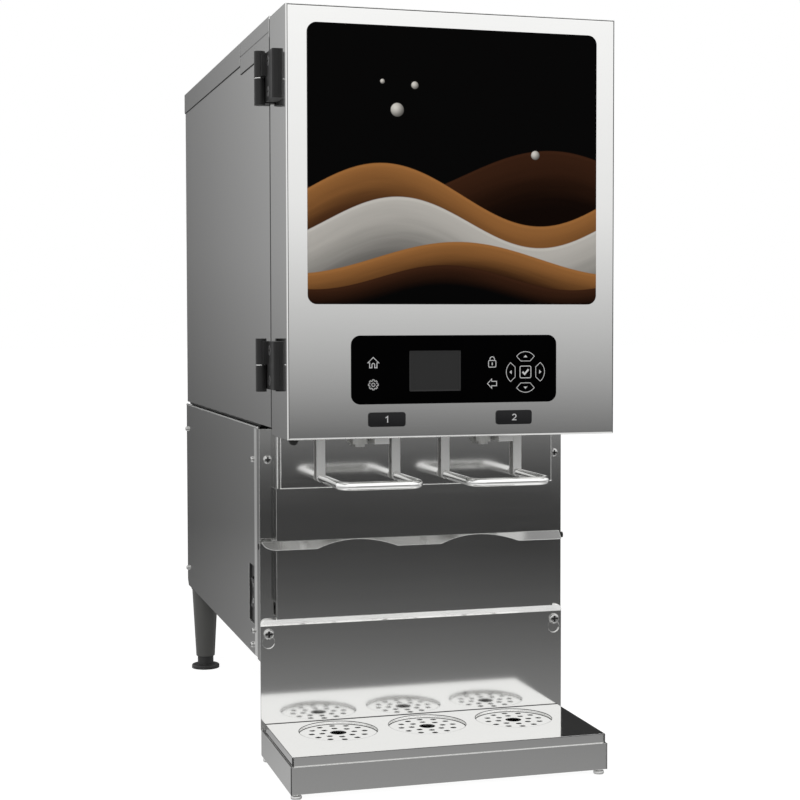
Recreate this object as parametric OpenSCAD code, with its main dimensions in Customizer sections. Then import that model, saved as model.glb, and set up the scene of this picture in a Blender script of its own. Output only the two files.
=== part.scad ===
// Two-product refrigerated milk dispenser with lift levers, a drip tray and a hinged door.
// +Z is up, the door faces -Y and the machine stands on Z = 0. All sizes are in millimetres.

/* [Body] */
// Width of the insulated cabinet
body_w = 367; // [355:1:385]
// Height of the insulated cabinet
cab_h = 449; // [440:1:470]
// Thickness of the outer and inner steel sheets
sheet = 1.2; // [0.8:0.1:1.6]
// Thickness of the insulation between the sheets
wall = 38; // [34:1:40]
// Thickness of the insulation in the rear wall
rear_wall = 46; // [38:1:54]
// Height of the gap strip between the base and the cabinet
spacer_h = 5.5; // [4:0.5:8]
// Depth of the top trim in front of the top cover
trim_d = 180; // [140:1:220]
// Height of the side flange of the top trim
trim_flange = 37; // [32:0.5:37]
// Height of the groove in the top trim below the top
trim_groove = 16; // [12:0.5:20]
// Height of the side flange of the top cover
cover_flange = 26.5; // [20:0.5:34]

/* [Door] */
// How far the door stands out past each side of the cabinet
door_over = 0.5; // [0:0.1:1]
// Height of the door
door_h = 454; // [448:1:455]
// Depth of the door pan
door_t = 84; // [74:1:92]
// Bend radius of the door's front edges
door_r = 2.5; // [1.6:0.1:5]
// Thickness of the closed gasket
gasket_t = 5; // [4:0.5:7]
// Width of the gasket strip
gasket_w = 20; // [14:1:24]
// How far the door hangs below the cabinet
door_drop = 7.5; // [5:0.5:9]
// Depth of the rim of the door liner inside the cabinet
dyke_d = 12; // [8:1:16]
// Width of the graphic panel
graphic_w = 323.5; // [300:0.5:330]
// Height of the graphic panel
graphic_h = 293; // [270:0.5:296]
// Thickness of the graphic panel
graphic_t = 1.5; // [1:0.1:2]
// Gap between the graphic panel and the top of the door
graphic_top = 18.5; // [14:0.5:22]
// Width of the keypad
keypad_w = 231; // [220:1:240]
// Height of the keypad
keypad_h = 73; // [68:0.5:76]
// Height of the keypad's lower edge above the door's lower edge
keypad_up = 36.5; // [34:0.5:38]
// Corner radius of the graphic panel and the keypad
panel_r = 10; // [6:0.5:14]
// Thickness of the keypad overlay
keypad_t = 1; // [0.8:0.1:1.4]
// Width of the display window
lcd_w = 58; // [54:0.5:62]
// Height of the display window
lcd_h = 43.6; // [40:0.2:48]
// Place of the display from the middle of the keypad
lcd_x = -22.8; // [-30:0.2:-10]
// Width of a product label plate
label_w = 41; // [36:0.5:46]
// Height of a product label plate
label_h = 15.5; // [12:0.5:18]
// Thickness of a product label plate
label_t = 2; // [1.6:0.1:2.4]
// Places of the two label plates from the middle
label_x = [-76.5, 66.5];
// Height of the label plates above the door's lower edge
label_up = 12.5; // [10:0.5:16]

/* [Hinges] */
// Height of a hinge
hinge_h = 58; // [48:1:60]
// Diameter of the hinge knuckle
knuckle_d = 12; // [10:0.5:14]
// Distance of the hinge axis from the side of the door
hinge_off = 11; // [8:0.5:13]
// Diameter of the hinge pin
hinge_pin_d = 6; // [5:0.5:7]
// Length of a hinge leaf on the door
leaf_l = 38; // [30:1:50]
// Length of a hinge leaf on the cabinet
frame_leaf_l = 20; // [16:1:40]
// Height of a hinge leaf
leaf_h = 52; // [48:1:56]
// Thickness of a hinge leaf
leaf_t = 6; // [4:0.5:7]
// Diameter of a countersunk screw hole in a door leaf
leaf_screw_d = 11.8; // [9:0.2:13]
// Height of a screw hole above or below the middle of its leaf
leaf_screw_z = 16.3; // [12:0.1:18]
// Distance of the screw holes from the rear edge of a door leaf
leaf_screw_in = 13; // [12:0.5:20]
// Place of the lower hinge above the door's lower edge
hinge_low = 77; // [60:1:100]
// Place of the upper hinge below the door's upper edge
hinge_high = 66; // [64:1:90]
// Thickness of the washer between two knuckles
washer_t = 1.2; // [0.8:0.2:2]

/* [Base] */
// How far the base is narrower than the cabinet on each side
base_inset = 0.7; // [0.4:0.1:1.2]
// Height of the base
base_h = 267; // [255:1:280]
// How far the base stands out behind the cabinet
base_back = 7; // [0:0.5:12]
// Overhang of the cabinet in front of the base side panels
overhang = 85; // [80:1:90]
// Depth of the front posts ahead of the side panels
post_d = 16; // [14:0.5:18]
// Width of a front post
post_w = 16.5; // [13:0.5:18]
// Depth of the lower front panel ahead of the posts
low_out = 15; // [14:0.5:17]
// Depth of the nozzle panel ahead of the lower front panel
mirror_out = 6; // [5:0.5:8]
// Width left on each side of the nozzle panel
mirror_side = 3.5; // [3:0.5:8]
// Height of the nozzle panel below the cabinet
mirror_h = 72.5; // [70:0.5:85]
// Height of the lower front panel's lower edge above the base's underside
low_up = 50; // [48:1:53]
// Height of the cup ledge above the base's underside
ledge_up = 130.5; // [110:0.5:145]
// Height of the cup ledge
ledge_h = 9.5; // [9:0.5:12]
// How far the cup ledge stands out past each post
ledge_over = 0.6; // [0.4:0.1:2]
// Depth of the cup ledge ahead of the lower front panel
ledge_out = 9; // [7:0.5:12]
// Thickness of the cup ledge, measured level
ledge_t = 2; // [1.4:0.1:3]
// Rounding of the cup ledge's lower corners
ledge_r = 17; // [10:1:20]
// Width of a cup scallop
scallop_w = 95; // [80:1:110]
// Height of a cup scallop
scallop_h = 7.8; // [4:0.2:8]
// Diameter of a plug in the side of a post
plug_d = 7; // [5:0.5:8]
// How far the right post's plug stands out past the cup ledge
plug_out = 4; // [3:0.5:6]
// How far the left post's plug stands out past its post
plug_flush = 0.4; // [0.2:0.1:1]
// How far a plug reaches in through its post
plug_sink = 3; // [2:0.5:5]
// Distance of a plug behind the front of its post
plug_back = 7; // [5:0.5:10]
// Height of a plug above the base's underside
plug_up = 131.5; // [110:0.5:145]
// Depth of the side panels' front edge that leans in
hem_w = 22; // [16:0.5:22]
// How far the side panels' front edge leans in
hem_in = 1.6; // [1:0.1:2.4]
// Size of the cut lower rear corner of the side panels
side_cut = 8; // [4:0.5:12]
// Depth of the switch opening in the left side panel
switch_w = 33; // [30:0.5:36]
// Height of the switch opening in the left side panel
switch_h = 68; // [60:1:76]
// Height of the switch opening above the base's underside
switch_up = 36; // [30:1:60]
// Height of a leg with its levelling foot
leg_h = 119; // [110:1:130]
// Diameter of a leg at its top
leg_top_d = 38; // [34:0.5:42]
// Diameter of a leg at its lower end
leg_low_d = 27; // [25:0.5:30]
// Diameter of a levelling foot's disc
foot_d = 40; // [32:0.5:44]
// Height of a levelling foot's disc
foot_h = 5; // [4:0.5:10]
// Height of a levelling foot's collar
collar_h = 12.7; // [6:0.1:14]
// Diameter of a levelling foot's collar
collar_d = 23; // [20:0.5:25]
// Diameter of a levelling foot's stem
stem_d = 13; // [10:0.5:15]
// Distance of a rear leg's axis from the side of the base
leg_inset = 20.5; // [20:0.5:26]
// Distance of a front leg's axis from the side of the base
leg_front_inset = 34; // [24:0.5:44]
// Distance of the front legs behind the front of the side panels
leg_front = 30.5; // [24:0.5:60]
// Distance of the rear legs from the rear of the base
leg_rear = 32.5; // [24:0.5:60]

/* [Dispensing] */
// Distance of each nozzle from the middle
nozzle_x = 74; // [70:0.5:76]
// Diameter of a nozzle spout
nozzle_d = 17; // [15:0.5:18]
// How far the product tubes reach below the cabinet
nozzle_drop = 25.5; // [20:0.5:30]
// How far a product tube reaches out of its spout
tube_out = 3; // [1:0.5:5]
// Distance of the nozzle axis in front of the nozzle panel
nozzle_gap = 13; // [12:0.5:16]
// Outer diameter of a product tube
tube_d = 11; // [10.5:0.5:12.5]
// Bore of a product tube
tube_bore = 8; // [6:0.5:9]
// Distance between the two straps of a lever
strap_pitch = 88.6; // [84:0.2:92]
// Width of a lever strap
strap_w = 10; // [8:0.5:12]
// Thickness of a lever strap
strap_t = 2; // [1.5:0.1:2.5]
// Gap between the straps and the nozzle panel
strap_gap = 5; // [4.5:0.1:7]
// Diameter of the lever's bent rod
rod_d = 9.5; // [6:0.5:10]
// Bend radius of the rod's axis
rod_bend = 14; // [10:0.5:20]
// How far the rod loop reaches ahead of its straps
loop_l = 102; // [80:1:106]
// Height of the rod below the cabinet
rod_drop = 60.5; // [50:0.5:64]
// Height of the lever pivot below the cabinet
pivot_drop = 9.5; // [9:0.1:11]
// Outer diameter of the lever's eye
eye_d = 10; // [9:0.5:10]
// Diameter of a lever pivot pin
pivot_d = 5; // [4:0.5:6]

/* [Drip tray] */
// How far the tray box is narrower than the base on each side
tray_inset = 2.3; // [1:0.1:4]
// How far the tray box stands behind the door front
tray_front = 7.5; // [4:0.5:12]
// How far the tray box reaches behind the splash panel
tray_under = 18; // [10:1:30]
// Height of the tray feet
tray_foot_h = 6.5; // [5:0.5:8]
// Diameter of the tray feet
tray_foot_d = 12; // [10:0.5:13]
// Distance of the tray feet's axes from the tray's sides
tray_foot_in = 7; // [7:0.5:16]
// Height of the tray box
tray_h = 29.5; // [26:0.5:32]
// Corner radius of the tray box
tray_r = 1.5; // [1:0.5:6]
// Width of the rim that carries the lid
rim_w = 6; // [5:0.5:8]
// How far the lid is smaller than the tray box on each side
lid_inset = 2; // [1:0.1:3]
// Height of the lid
lid_h = 10.5; // [9:0.5:12]
// Diameter of a drip disc
disc_d = 90; // [80:1:94]
// Depth of a drip disc
disc_depth = 2.2; // [1.6:0.1:3]
// Distance between two drip discs
disc_pitch = 105; // [94:1:112]
// Diameter of the drip holes
drip_d = 7; // [4:0.5:8]
// Diameter of the hole in the middle of a drip disc
drip_mid_d = 18.5; // [12:0.5:20]
// Diameter of the outer circle of drip holes
drip_ring_out = 61.5; // [56:0.5:66]
// Diameter of the inner circle of drip holes
drip_ring_in = 37; // [32:0.5:40]
// Height of the splash panel's bend above its lower edge
splash_h = 120; // [110:1:121]
// Height of the splash panel's bent top strip
strip_h = 8.8; // [6:0.2:9]
// Angle of the bent top strip from upright
strip_angle = 24; // [10:1:30]
// How far the splash panel lifts on its screws
splash_lift = 9.5; // [8:0.1:10]
// Gap between the tray box and the splash panel's lower edge
splash_gap = 4; // [2:0.5:6]
// Diameter of a keyhole screw's head
key_head_d = 12.5; // [10:0.5:13]
// Diameter of a keyhole screw's shank
key_shank_d = 5; // [4:0.5:6]
// Distance of the keyhole screws below the splash panel's bend
key_down = 9.5; // [8:0.5:14]
// Distance of the keyhole screws from the outer side of the posts
key_side = 9.5; // [8:0.5:11]

/* [Inside] */
// Height of the raised rear floor of the cool space
step_h = 66; // [60:1:72]
// Length of the low front floor of the cool space
low_floor_l = 112; // [106:1:125]
// Height of a milk bin
bin_h = 226; // [180:1:250]
// Length of a milk bin
bin_l = 440; // [380:1:480]
// Gap between the bins and the evaporator cover
bin_rear = 24.6; // [16:0.2:40]
// Depth of the space for the evaporator and its fan
coil_room = 112; // [108:1:130]
// Thickness of a milk bin's wall
bin_wall = 3; // [2:0.5:4]
// Gap between the bins and the liner
bin_gap = 3; // [2:0.5:5]
// Diameter of the evaporator fan
cool_fan_d = 120; // [100:1:130]
// Diameter of the condenser fan
hot_fan_d = 160; // [130:1:180]
// Diameter of the compressor
compressor_d = 130; // [110:1:150]
// Height of the compressor
compressor_h = 130; // [110:1:150]
// Width of the compressor's baseplate
comp_plate_w = 190; // [170:1:200]
// Depth of the compressor's baseplate
comp_plate_d = 120; // [110:1:140]
// Distance of the compressor behind the front of the side panels
comp_back = 190; // [160:1:220]
// Half width of the condenser and its shroud
shroud_x = 110; // [100:1:130]
// Distance of the fan shroud from the rear of the base
shroud_rear = 150; // [140:1:170]
// Height of the condenser fan's axis above the base's underside
hot_fan_up = 122; // [112:1:140]
// Depth of the condenser coil
condenser_d = 50; // [40:1:60]
// Diameter of a valve plunger
plunger_d = 10; // [8:0.5:11]
// Stroke of a valve plunger
stroke = 5; // [4:0.5:6]

/* [Clearances] */
// Radial clearance of a pin or shaft that turns
run_gap = 0.05; // [0.02:0.01:0.1]
// Clearance between pieces that move past each other
move_gap = 0.3; // [0.2:0.05:0.5]
// Clearance of a piece dropped into an opening
fit_gap = 0.4; // [0.2:0.1:0.6]

/* [Hidden] */
$fn = 48;
steel = "silver";
bright = "gainsboro";
black = "#202020";
dark = "#3a3a3a";
white = "whitesmoke";
foam = "khaki";
copper = "#b87333";
print_black = "#1a1210";
board_green = "darkgreen";

// How far a cut runs past a surface, and how far joined bodies reach into each other
over = 1;

// Sheets and pads that are the same everywhere
frame_t = 2;
shell_t = 1.5;
head_h = 3;
head_taper = 0.6;
rail = 18;
bin_front = 26;

// Heights above the floor
z_base = leg_h;
z_base1 = z_base + base_h;
z_cab0 = z_base1 + spacer_h;
z_cab1 = z_cab0 + cab_h;
z_door0 = z_cab0 - door_drop;
z_door1 = z_door0 + door_h;
z_low = z_base + low_up;
z_ledge = z_base + ledge_up;
z_mirror = z_cab0 - mirror_h;
z_rod = z_cab0 - rod_drop;
z_pivot = z_cab0 - pivot_drop;
z_tip = z_cab0 - nozzle_drop;
z_tray = tray_foot_h;
z_rim = z_tray + tray_h;
z_lid = z_rim + lid_h;
z_splash = z_rim + splash_gap;
z_bend = z_splash + splash_h;
z_key = z_bend - key_down;

// Depths behind the door front
y_cab0 = door_t + gasket_t;
y_trim1 = y_cab0 + trim_d;
y_side0 = y_cab0 + overhang;
y_post = y_side0 - post_d;
y_low = y_post - low_out;
y_mirror = y_low - mirror_out;
y_strap = y_mirror - strap_gap - strap_t;
y_pivot = y_strap + strap_t / 2;
y_loop = y_strap - loop_l;
y_nozzle = y_mirror - nozzle_gap;
y_splash = y_post - move_gap - shell_t;
y_tray1 = y_splash + tray_under;
y_hinge = door_t + gasket_t / 2;
bin_y0 = y_nozzle - bin_front;
y_cool_cover = bin_y0 + bin_l + bin_rear;
cool_y1 = y_cool_cover + coil_room;
y_cab1 = cool_y1 + rear_wall + 2 * sheet;
y_base1 = y_cab1 + base_back;

// Half widths
door_x = body_w / 2 + door_over;
door_w = 2 * door_x;
cover_x = body_w / 2;
wrap_x = cover_x - sheet;
foam_x = wrap_x - sheet;
base_x = body_w / 2 - base_inset;
post_x = base_x + sheet;
low_x = post_x - post_w;
mirror_x = low_x - mirror_side;
ledge_x = post_x + ledge_over;
tray_x = base_x - tray_inset;
lid_x = tray_x - lid_inset;
leg_x = [base_x - leg_front_inset, base_x - leg_inset];
leg_y = [y_side0 + leg_front, y_base1 - leg_rear];
leg_rows = [0, 1];
key_x = post_x - key_side;

// Cool space inside the liner
cool_x = foam_x - wall - sheet;
cool_z0 = z_cab0 + wall + 2 * sheet;
cool_z1 = z_cab1 - wall - 2 * sheet;
y_step = y_cab0 + low_floor_l;
z_shelf = cool_z0 + step_h;

// Hinges
hinge_x = -door_x - hinge_off;
hinge_z = [z_door0 + hinge_low, z_door1 - hinge_high];
leaf_gap = 1;
leaf_edge = 1.5;
arm_lap = 5;
pin_wall = 1;
washer_in = 1;
leaf_y0 = y_hinge - knuckle_d / 2 - leaf_gap;
leaf_y1 = y_hinge + knuckle_d / 2 + leaf_gap;

// Keypad and label places on the door front
z_keypad = z_door0 + keypad_up + keypad_h / 2;
lcd_low = 1.5;
z_lcd = z_keypad - lcd_low;
z_label = z_door0 + label_up + label_h / 2;
z_graphic = z_door1 - graphic_top - graphic_h / 2;
lcd_rim = 2;
lcd_r = 1;
lcd_t = 9;
label_r = 3;
board_t = 1.6;
board_side = 12;
board_edge = 6;
connector_x = [-70, 0, 60];
connector_w = 28;
connector_h = 16;
connector_d = 10;

// Back of the door
dyke_gap = 8;
gasket_r = 2;

// Valve, bin and nozzle places
flange_h = 3;
flange_d = 30;
sleeve_d = 22;
sleeve_low = 4;
z_spout = z_tip + tube_out;
z_valve = cool_z0 + flange_h;
valve_h = 48;
valve_w = 48;
valve_front = 14;
valve_l = 30;
coil_d = 40;
coil_l = 42;
coil_end = 4;
pinch_up = 26;
z_pinch = z_valve + pinch_up;
pinch_r = 4;
plunger_l = 40;
nose_l = 10;
nose_lap = 2;
bin_x = (cool_x - bin_gap - bin_gap / 2) / 2;
bin_mid = bin_gap / 2 + bin_x;
bin_r = 12;
bin_lid_h = 10;
spigot_l = 10;
spigot_gap = 0.1;
strap_sides = [-1, 1];
sides = [-1, 1];

// Lever bracket and the switches behind the levers
bracket_front = 12;
bracket_side = 4;
ear_less = 1;
block_gap = 1;
block_w = 17;
block_up = 4;
block_front = 2;
block_rear = 6;
button_up = 16;
lever_switch_w = 20;
lever_switch_h = 16;

// Fans
fin_side = 20;
fin_gap = 8;
fin_top = 40;
fin_tube_d = 10;
fan_hub_d = 40;
fan_depth = 24;
fan_blades = 5;
blade_t = 2;
blade_pitch = 32;
fan_air_gap = 3;
fan_shaft_d = 8;
motor_d = 36;
motor_l = 30;
strut_w = 8;
strut_t = 4;
strut_angles = [45, 135];
coil_columns = [0.25, 0.75];
cool_fins = 16;
cool_rows = 5;
hot_fins = 24;
hot_rows = 7;
return_w = 30;
return_h = 14;
return_r = 6;
return_pitch = 45;
return_row = [-2:2];
cool_fan_low = 10;
cool_fan_z = (z_shelf + cool_z1) / 2 + cool_fan_d / 2 - cool_fan_low;
hot_fan_z = z_base + hot_fan_up;
y_hot_cover = y_base1 - shroud_rear;
shroud_rim = 12;
z_shroud = hot_fan_z + hot_fan_d / 2 + fan_air_gap + shroud_rim;
fan_room = fan_depth + fan_air_gap + motor_l;

// Switch place in the left side panel
switch_lip = 3;
switch_y = y_side0 + hem_w + switch_lip;
switch_z = z_base + switch_up;
switch_depth = 22;
switch_sink = 3;
rocker_w = 18;
rocker_h = 34;
rocker_room = 2;
rocker_stand = 2;
rocker_edge = 6;
rocker_heel = 4;
rocker_deep = 12;
rocker_pin_d = 3;
rocker_pin_out = 2.5;
rocker_pin_room = 3;
rocker_x = -base_x + rocker_deep;

// Power inlet in the rear panel
inlet_side = 62.8;
inlet_up = 30;
inlet_x = base_x - inlet_side;
inlet_z = z_base + inlet_up;
inlet_w = 28;
inlet_h = 22;
inlet_flange = 4;
inlet_r = 3;
inlet_t = 2;
pocket_w = 24;
pocket_h = 17;
pocket_d = 16;
prong_x = 7;
prong_z = 2;
prong_w = 2;
prong_h = 4;
prong_sink = 2;

// Air slots in the rear panel
vent_x = 60;
vent_w = 90;
vent_h = 7;
vent_r = 3;
vent_pitch = 18;
vent_rows = 8;

// Spacers between the base and the cabinet
tab_front = 40;
tab_rear = 70;
tab_l = 40;

// Legs and feet
leg_flange = 2;
leg_cap = 10;
foot_edge = 1;

// Screws of the posts, and of the side panels by depth and height
post_screw_d = 10.2;
post_screw_down = 35;
side_screw_d = 7;
side_screws = [
    [y_side0 + 30, z_base1 - 38], [y_side0 + 27, z_base + 28], [y_side0 + 36, z_base + 10],
    [y_base1 - 8, z_base1 - 35], [y_base1 - 8, z_base + 26]
];

// Splash panel and drip discs
key_room = 2;
lid_slit = 1.6;
disc_share = 0.34;
disc_row = [-1, 0, 1];
drip_count_out = 12;
drip_count_in = 8;

// The origin is the middle of the whole machine's footprint
x_mid = (-hinge_x + knuckle_d / 2 - ledge_x - plug_out) / 2;
y_mid = (y_base1 + inlet_t - label_t) / 2;

// Puts the machine, drawn from its mid-plane and its door front, on the origin
module place() translate([x_mid, -y_mid, 0]) children();

// A box from its lowest to its highest corner
module box(x0, y0, z0, x1, y1, z1) translate([x0, y0, z0]) cube([x1 - x0, y1 - y0, z1 - z0]);

// Round bars along each axis
module xrod(d, x0, x1, y, z) translate([x0, y, z]) rotate([0, 90, 0]) cylinder(d = d, h = x1 - x0);
module yrod(d, y0, y1, x, z) translate([x, y0, z]) rotate([-90, 0, 0]) cylinder(d = d, h = y1 - y0);
module zrod(d, z0, z1, x, y) translate([x, y, z0]) cylinder(d = d, h = z1 - z0);

// A rounded rectangle about the origin
module rounded(w, h, r) {
    square([w - 2 * r, h], center = true);
    square([w, h - 2 * r], center = true);
    for (x = [-1, 1], y = [-1, 1])
        translate([x * (w / 2 - r), y * (h / 2 - r)]) circle(r);
}

// A plate that faces the front, with round corners
module face_plate(w, h, r, x, z, y0, y1)
    translate([x, y1, z]) rotate([90, 0, 0]) linear_extrude(y1 - y0) rounded(w, h, r);

// An upright plate in the plane of a side panel, from a depth and height outline
module side_plate(points, x0, x1)
    translate([x0, 0, 0]) rotate([90, 0, 90]) linear_extrude(x1 - x0) polygon(points);

// A pan head that points along -Y from its seat
module head_front(d, x, y, z) translate([x, y, z]) rotate([90, 0, 0]) pan_head(d);

// A pan head with a shank, standing on Z = 0
module pan_head(d) {
    cylinder(d = d, h = head_h / 2);
    translate([0, 0, head_h / 2]) cylinder(d1 = d, d2 = d * head_taper, h = head_h / 2);
}

// Bladed fan wheel about Z with a bore for its shaft
module fan_wheel(d) difference() {
    union() {
        cylinder(d = fan_hub_d, h = fan_depth);
        intersection() {
            cylinder(d = d, h = fan_depth);
            for (i = [0:fan_blades - 1])
                rotate([0, 0, i * 360 / fan_blades])
                    translate([fan_hub_d / 2 - blade_t, 0, fan_depth / 2])
                        rotate([blade_pitch, 0, 0])
                            translate([0, -fan_depth, -blade_t / 2])
                                cube([d / 2, 2 * fan_depth, blade_t]);
        }
    }
    translate([0, 0, -over]) cylinder(d = fan_shaft_d + 2 * run_gap, h = fan_depth + 2 * over);
}

// Ring, struts, motor and shaft that carry a fan wheel, about Z
module fan_carrier(d) {
    ring_d = d + 2 * fan_air_gap;
    ring_h = fan_depth + fan_air_gap + strut_t;
    difference() {
        cylinder(d = ring_d + 2 * frame_t, h = ring_h);
        translate([0, 0, -over]) cylinder(d = ring_d, h = ring_h + 2 * over);
    }
    translate([0, 0, fan_depth + fan_air_gap]) {
        for (a = strut_angles)
            rotate([0, 0, a])
                translate([-ring_d / 2 - frame_t / 2, -strut_w / 2, 0])
                    cube([ring_d + frame_t, strut_w, strut_t]);
        cylinder(d = motor_d, h = motor_l);
    }
    cylinder(d = fan_shaft_d, h = fan_depth + fan_air_gap + over);
}

// Finned coil between two end plates, standing from z0 to z1
module finned_coil(x1, y0, y1, z0, z1, fins, rows) {
    for (i = [0:fins])
        box(-x1 + i * (2 * x1 - sheet) / fins, y0, z0, -x1 + i * (2 * x1 - sheet) / fins + sheet, y1, z1);
    for (r = [1:rows], c = coil_columns)
        xrod(fin_tube_d, -x1 - fin_tube_d, x1 + fin_tube_d,
            y0 + c * (y1 - y0), z0 + r * (z1 - z0) / (rows + 1));
}

// The cool space, grown by g on every side
module cool_space(g) {
    box(-cool_x - g, y_cab0 - over, cool_z0 - g, cool_x + g, y_step + g, cool_z1 + g);
    box(-cool_x - g, y_step - over, z_shelf - g, cool_x + g, cool_y1 + g, cool_z1 + g);
}

// Upright holes for the two nozzle sleeves
module sleeve_holes(d, z0, z1)
    for (s = sides) zrod(d, z0 - over, z1 + over, s * nozzle_x, y_nozzle);

// Wrap-round sheet of the cabinet: two sides and the back
module cabinet_wrap() color(steel) place() difference() {
    box(-wrap_x, y_cab0, z_cab0, wrap_x, y_cab1, z_cab1 - sheet);
    box(-foam_x, y_cab0 - over, z_cab0 - over, foam_x, y_cab1 - sheet, z_cab1);
}

module cabinet_floor() color(steel) place() difference() {
    box(-foam_x, y_cab0, z_cab0, foam_x, y_cab1 - sheet, z_cab0 + sheet);
    sleeve_holes(sleeve_d + 2 * fit_gap, z_cab0, z_cab0 + sheet);
}

// Foam between the sheets, with the cool space left open
module cabinet_insulation() color(foam) place() difference() {
    box(-foam_x, y_cab0 + sheet, z_cab0 + sheet, foam_x, y_cab1 - sheet, z_cab1 - sheet);
    cool_space(sheet);
    sleeve_holes(sleeve_d + 2 * fit_gap, z_cab0, cool_z0);
}

// Inner liner with its stepped floor and the flange that the gasket meets
module inner_liner() color(bright) place() difference() {
    union() {
        box(-foam_x, y_cab0, z_cab0 + sheet, foam_x, y_cab0 + sheet, z_cab1 - sheet);
        difference() {
            cool_space(sheet);
            box(-body_w, 0, 0, body_w, y_cab0, z_cab1 + body_w);
        }
    }
    cool_space(0);
    sleeve_holes(sleeve_d + 2 * fit_gap, cool_z0 - sheet, cool_z0);
}

module top_cover() color(steel) place() difference() {
    box(-cover_x, y_trim1, z_cab1 - cover_flange, cover_x, y_cab1 + sheet, z_cab1);
    box(-wrap_x, y_trim1 - over, 0, wrap_x, y_cab1, z_cab1 - sheet);
}

// Front part of the top with a deeper flange and a pressed groove
module top_front_trim() color(steel) place() difference() {
    box(-cover_x, y_cab0, z_cab1 - trim_flange, cover_x, y_trim1 - frame_t, z_cab1);
    box(-wrap_x, y_cab0 - over, 0, wrap_x, y_trim1, z_cab1 - sheet);
    for (s = sides)
        box(s * cover_x - sheet / 2, y_cab0 - over, z_cab1 - trim_groove - sheet,
            s * cover_x + sheet / 2, y_trim1, z_cab1 - trim_groove);
}

module evaporator_coil() color(copper) place() {
    coil_x = cool_x - fin_side;
    finned_coil(coil_x, y_cool_cover + fan_room + fin_gap, cool_y1 - fin_gap, z_shelf, cool_z1 - fin_top,
        cool_fins, cool_rows);
}

// Cover in front of the coil, with the fan's ring and a return slot
module evaporator_cover() color(white) place() {
    difference() {
        box(-cool_x, y_cool_cover, z_shelf, cool_x, y_cool_cover + frame_t, cool_z1);
        yrod(cool_fan_d + 2 * fan_air_gap, y_cool_cover - over, y_cool_cover + frame_t + over, 0, cool_fan_z);
        for (i = return_row)
            face_plate(return_w, return_h, return_r, i * return_pitch, z_shelf + 2 * return_h,
                y_cool_cover - over, y_cool_cover + frame_t + over);
    }
    translate([0, y_cool_cover, cool_fan_z]) rotate([-90, 0, 0]) fan_carrier(cool_fan_d);
}

module evaporator_fan() color(dark) place()
    translate([0, y_cool_cover, cool_fan_z]) rotate([-90, 0, 0]) fan_wheel(cool_fan_d);

// Milk bin with an outlet spigot over its valve
module milk_bin(s) color(white) place() {
    bin_y = bin_y0 + bin_l / 2;
    difference() {
        union() {
            translate([s * bin_mid, bin_y, z_shelf]) linear_extrude(bin_h) rounded(2 * bin_x, bin_l, bin_r);
            zrod(tube_bore - 2 * spigot_gap, z_shelf - spigot_l, z_shelf + over, s * nozzle_x, y_nozzle);
        }
        translate([s * bin_mid, bin_y, z_shelf + bin_wall])
            linear_extrude(bin_h)
                rounded(2 * (bin_x - bin_wall), bin_l - 2 * bin_wall, bin_r - bin_wall);
        zrod(tube_bore / 2, z_shelf - spigot_l - over, z_shelf + bin_wall + over, s * nozzle_x, y_nozzle);
    }
}

module bin_lid(s) color(white) place() {
    bin_y = bin_y0 + bin_l / 2;
    plug_r = bin_r - bin_wall - fit_gap;
    translate([s * bin_mid, bin_y, z_shelf + bin_h])
        linear_extrude(bin_wall) rounded(2 * bin_x, bin_l, bin_r);
    translate([s * bin_mid, bin_y, z_shelf + bin_h - bin_lid_h])
        linear_extrude(bin_lid_h)
            rounded(2 * (bin_x - bin_wall - fit_gap), bin_l - 2 * (bin_wall + fit_gap), plug_r);
}

module milk_bin_left() milk_bin(-1);
module milk_bin_right() milk_bin(1);
module bin_lid_left() bin_lid(-1);
module bin_lid_right() bin_lid(1);

// Soft tube from the bin's spigot to the nozzle, pressed shut where the plunger meets it
module product_tubes() color(white) place() for (s = sides) difference() {
    zrod(tube_d, z_tip, z_shelf - move_gap, s * nozzle_x, y_nozzle);
    zrod(tube_bore, z_pinch + 2 * pinch_r, z_shelf, s * nozzle_x, y_nozzle);
    zrod(tube_bore, z_tip - over, z_pinch - 2 * pinch_r, s * nozzle_x, y_nozzle);
    xrod(2 * (pinch_r + move_gap), s * nozzle_x - tube_d, s * nozzle_x + tube_d,
        y_nozzle + tube_d / 2, z_pinch);
}

// Pinch valve block round the tube, with the coil of its solenoid behind
module valve_body(s) color(dark) place() {
    coil_y0 = y_nozzle - valve_front + valve_l;
    difference() {
        union() {
            box(s * nozzle_x - valve_w / 2, y_nozzle - valve_front, z_valve,
                s * nozzle_x + valve_w / 2, coil_y0, z_valve + valve_h);
            yrod(coil_d, coil_y0 - over, coil_y0 + coil_l, s * nozzle_x, z_pinch);
        }
        zrod(tube_d + 2 * fit_gap, z_valve - over, z_valve + valve_h + over, s * nozzle_x, y_nozzle);
        yrod(plunger_d + 2 * run_gap, y_nozzle, coil_y0 + coil_l - coil_end, s * nozzle_x, z_pinch);
    }
}

module valve_body_left() valve_body(-1);
module valve_body_right() valve_body(1);

// Plunger with a round nose that presses the tube
module plunger(s) color(bright) place() {
    tip_y = y_nozzle + tube_d / 2;
    intersection() {
        yrod(plunger_d, tip_y - pinch_r, tip_y + plunger_l, s * nozzle_x, z_pinch);
        union() {
            xrod(2 * pinch_r, s * nozzle_x - plunger_d, s * nozzle_x + plunger_d, tip_y, z_pinch);
            box(s * nozzle_x - plunger_d, tip_y, z_pinch - pinch_r,
                s * nozzle_x + plunger_d, tip_y + nose_l, z_pinch + pinch_r);
            box(s * nozzle_x - plunger_d, tip_y + nose_l - nose_lap, z_pinch - plunger_d,
                s * nozzle_x + plunger_d, tip_y + plunger_l, z_pinch + plunger_d);
        }
    }
}

module plunger_left() plunger(-1);
module plunger_right() plunger(1);

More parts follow.
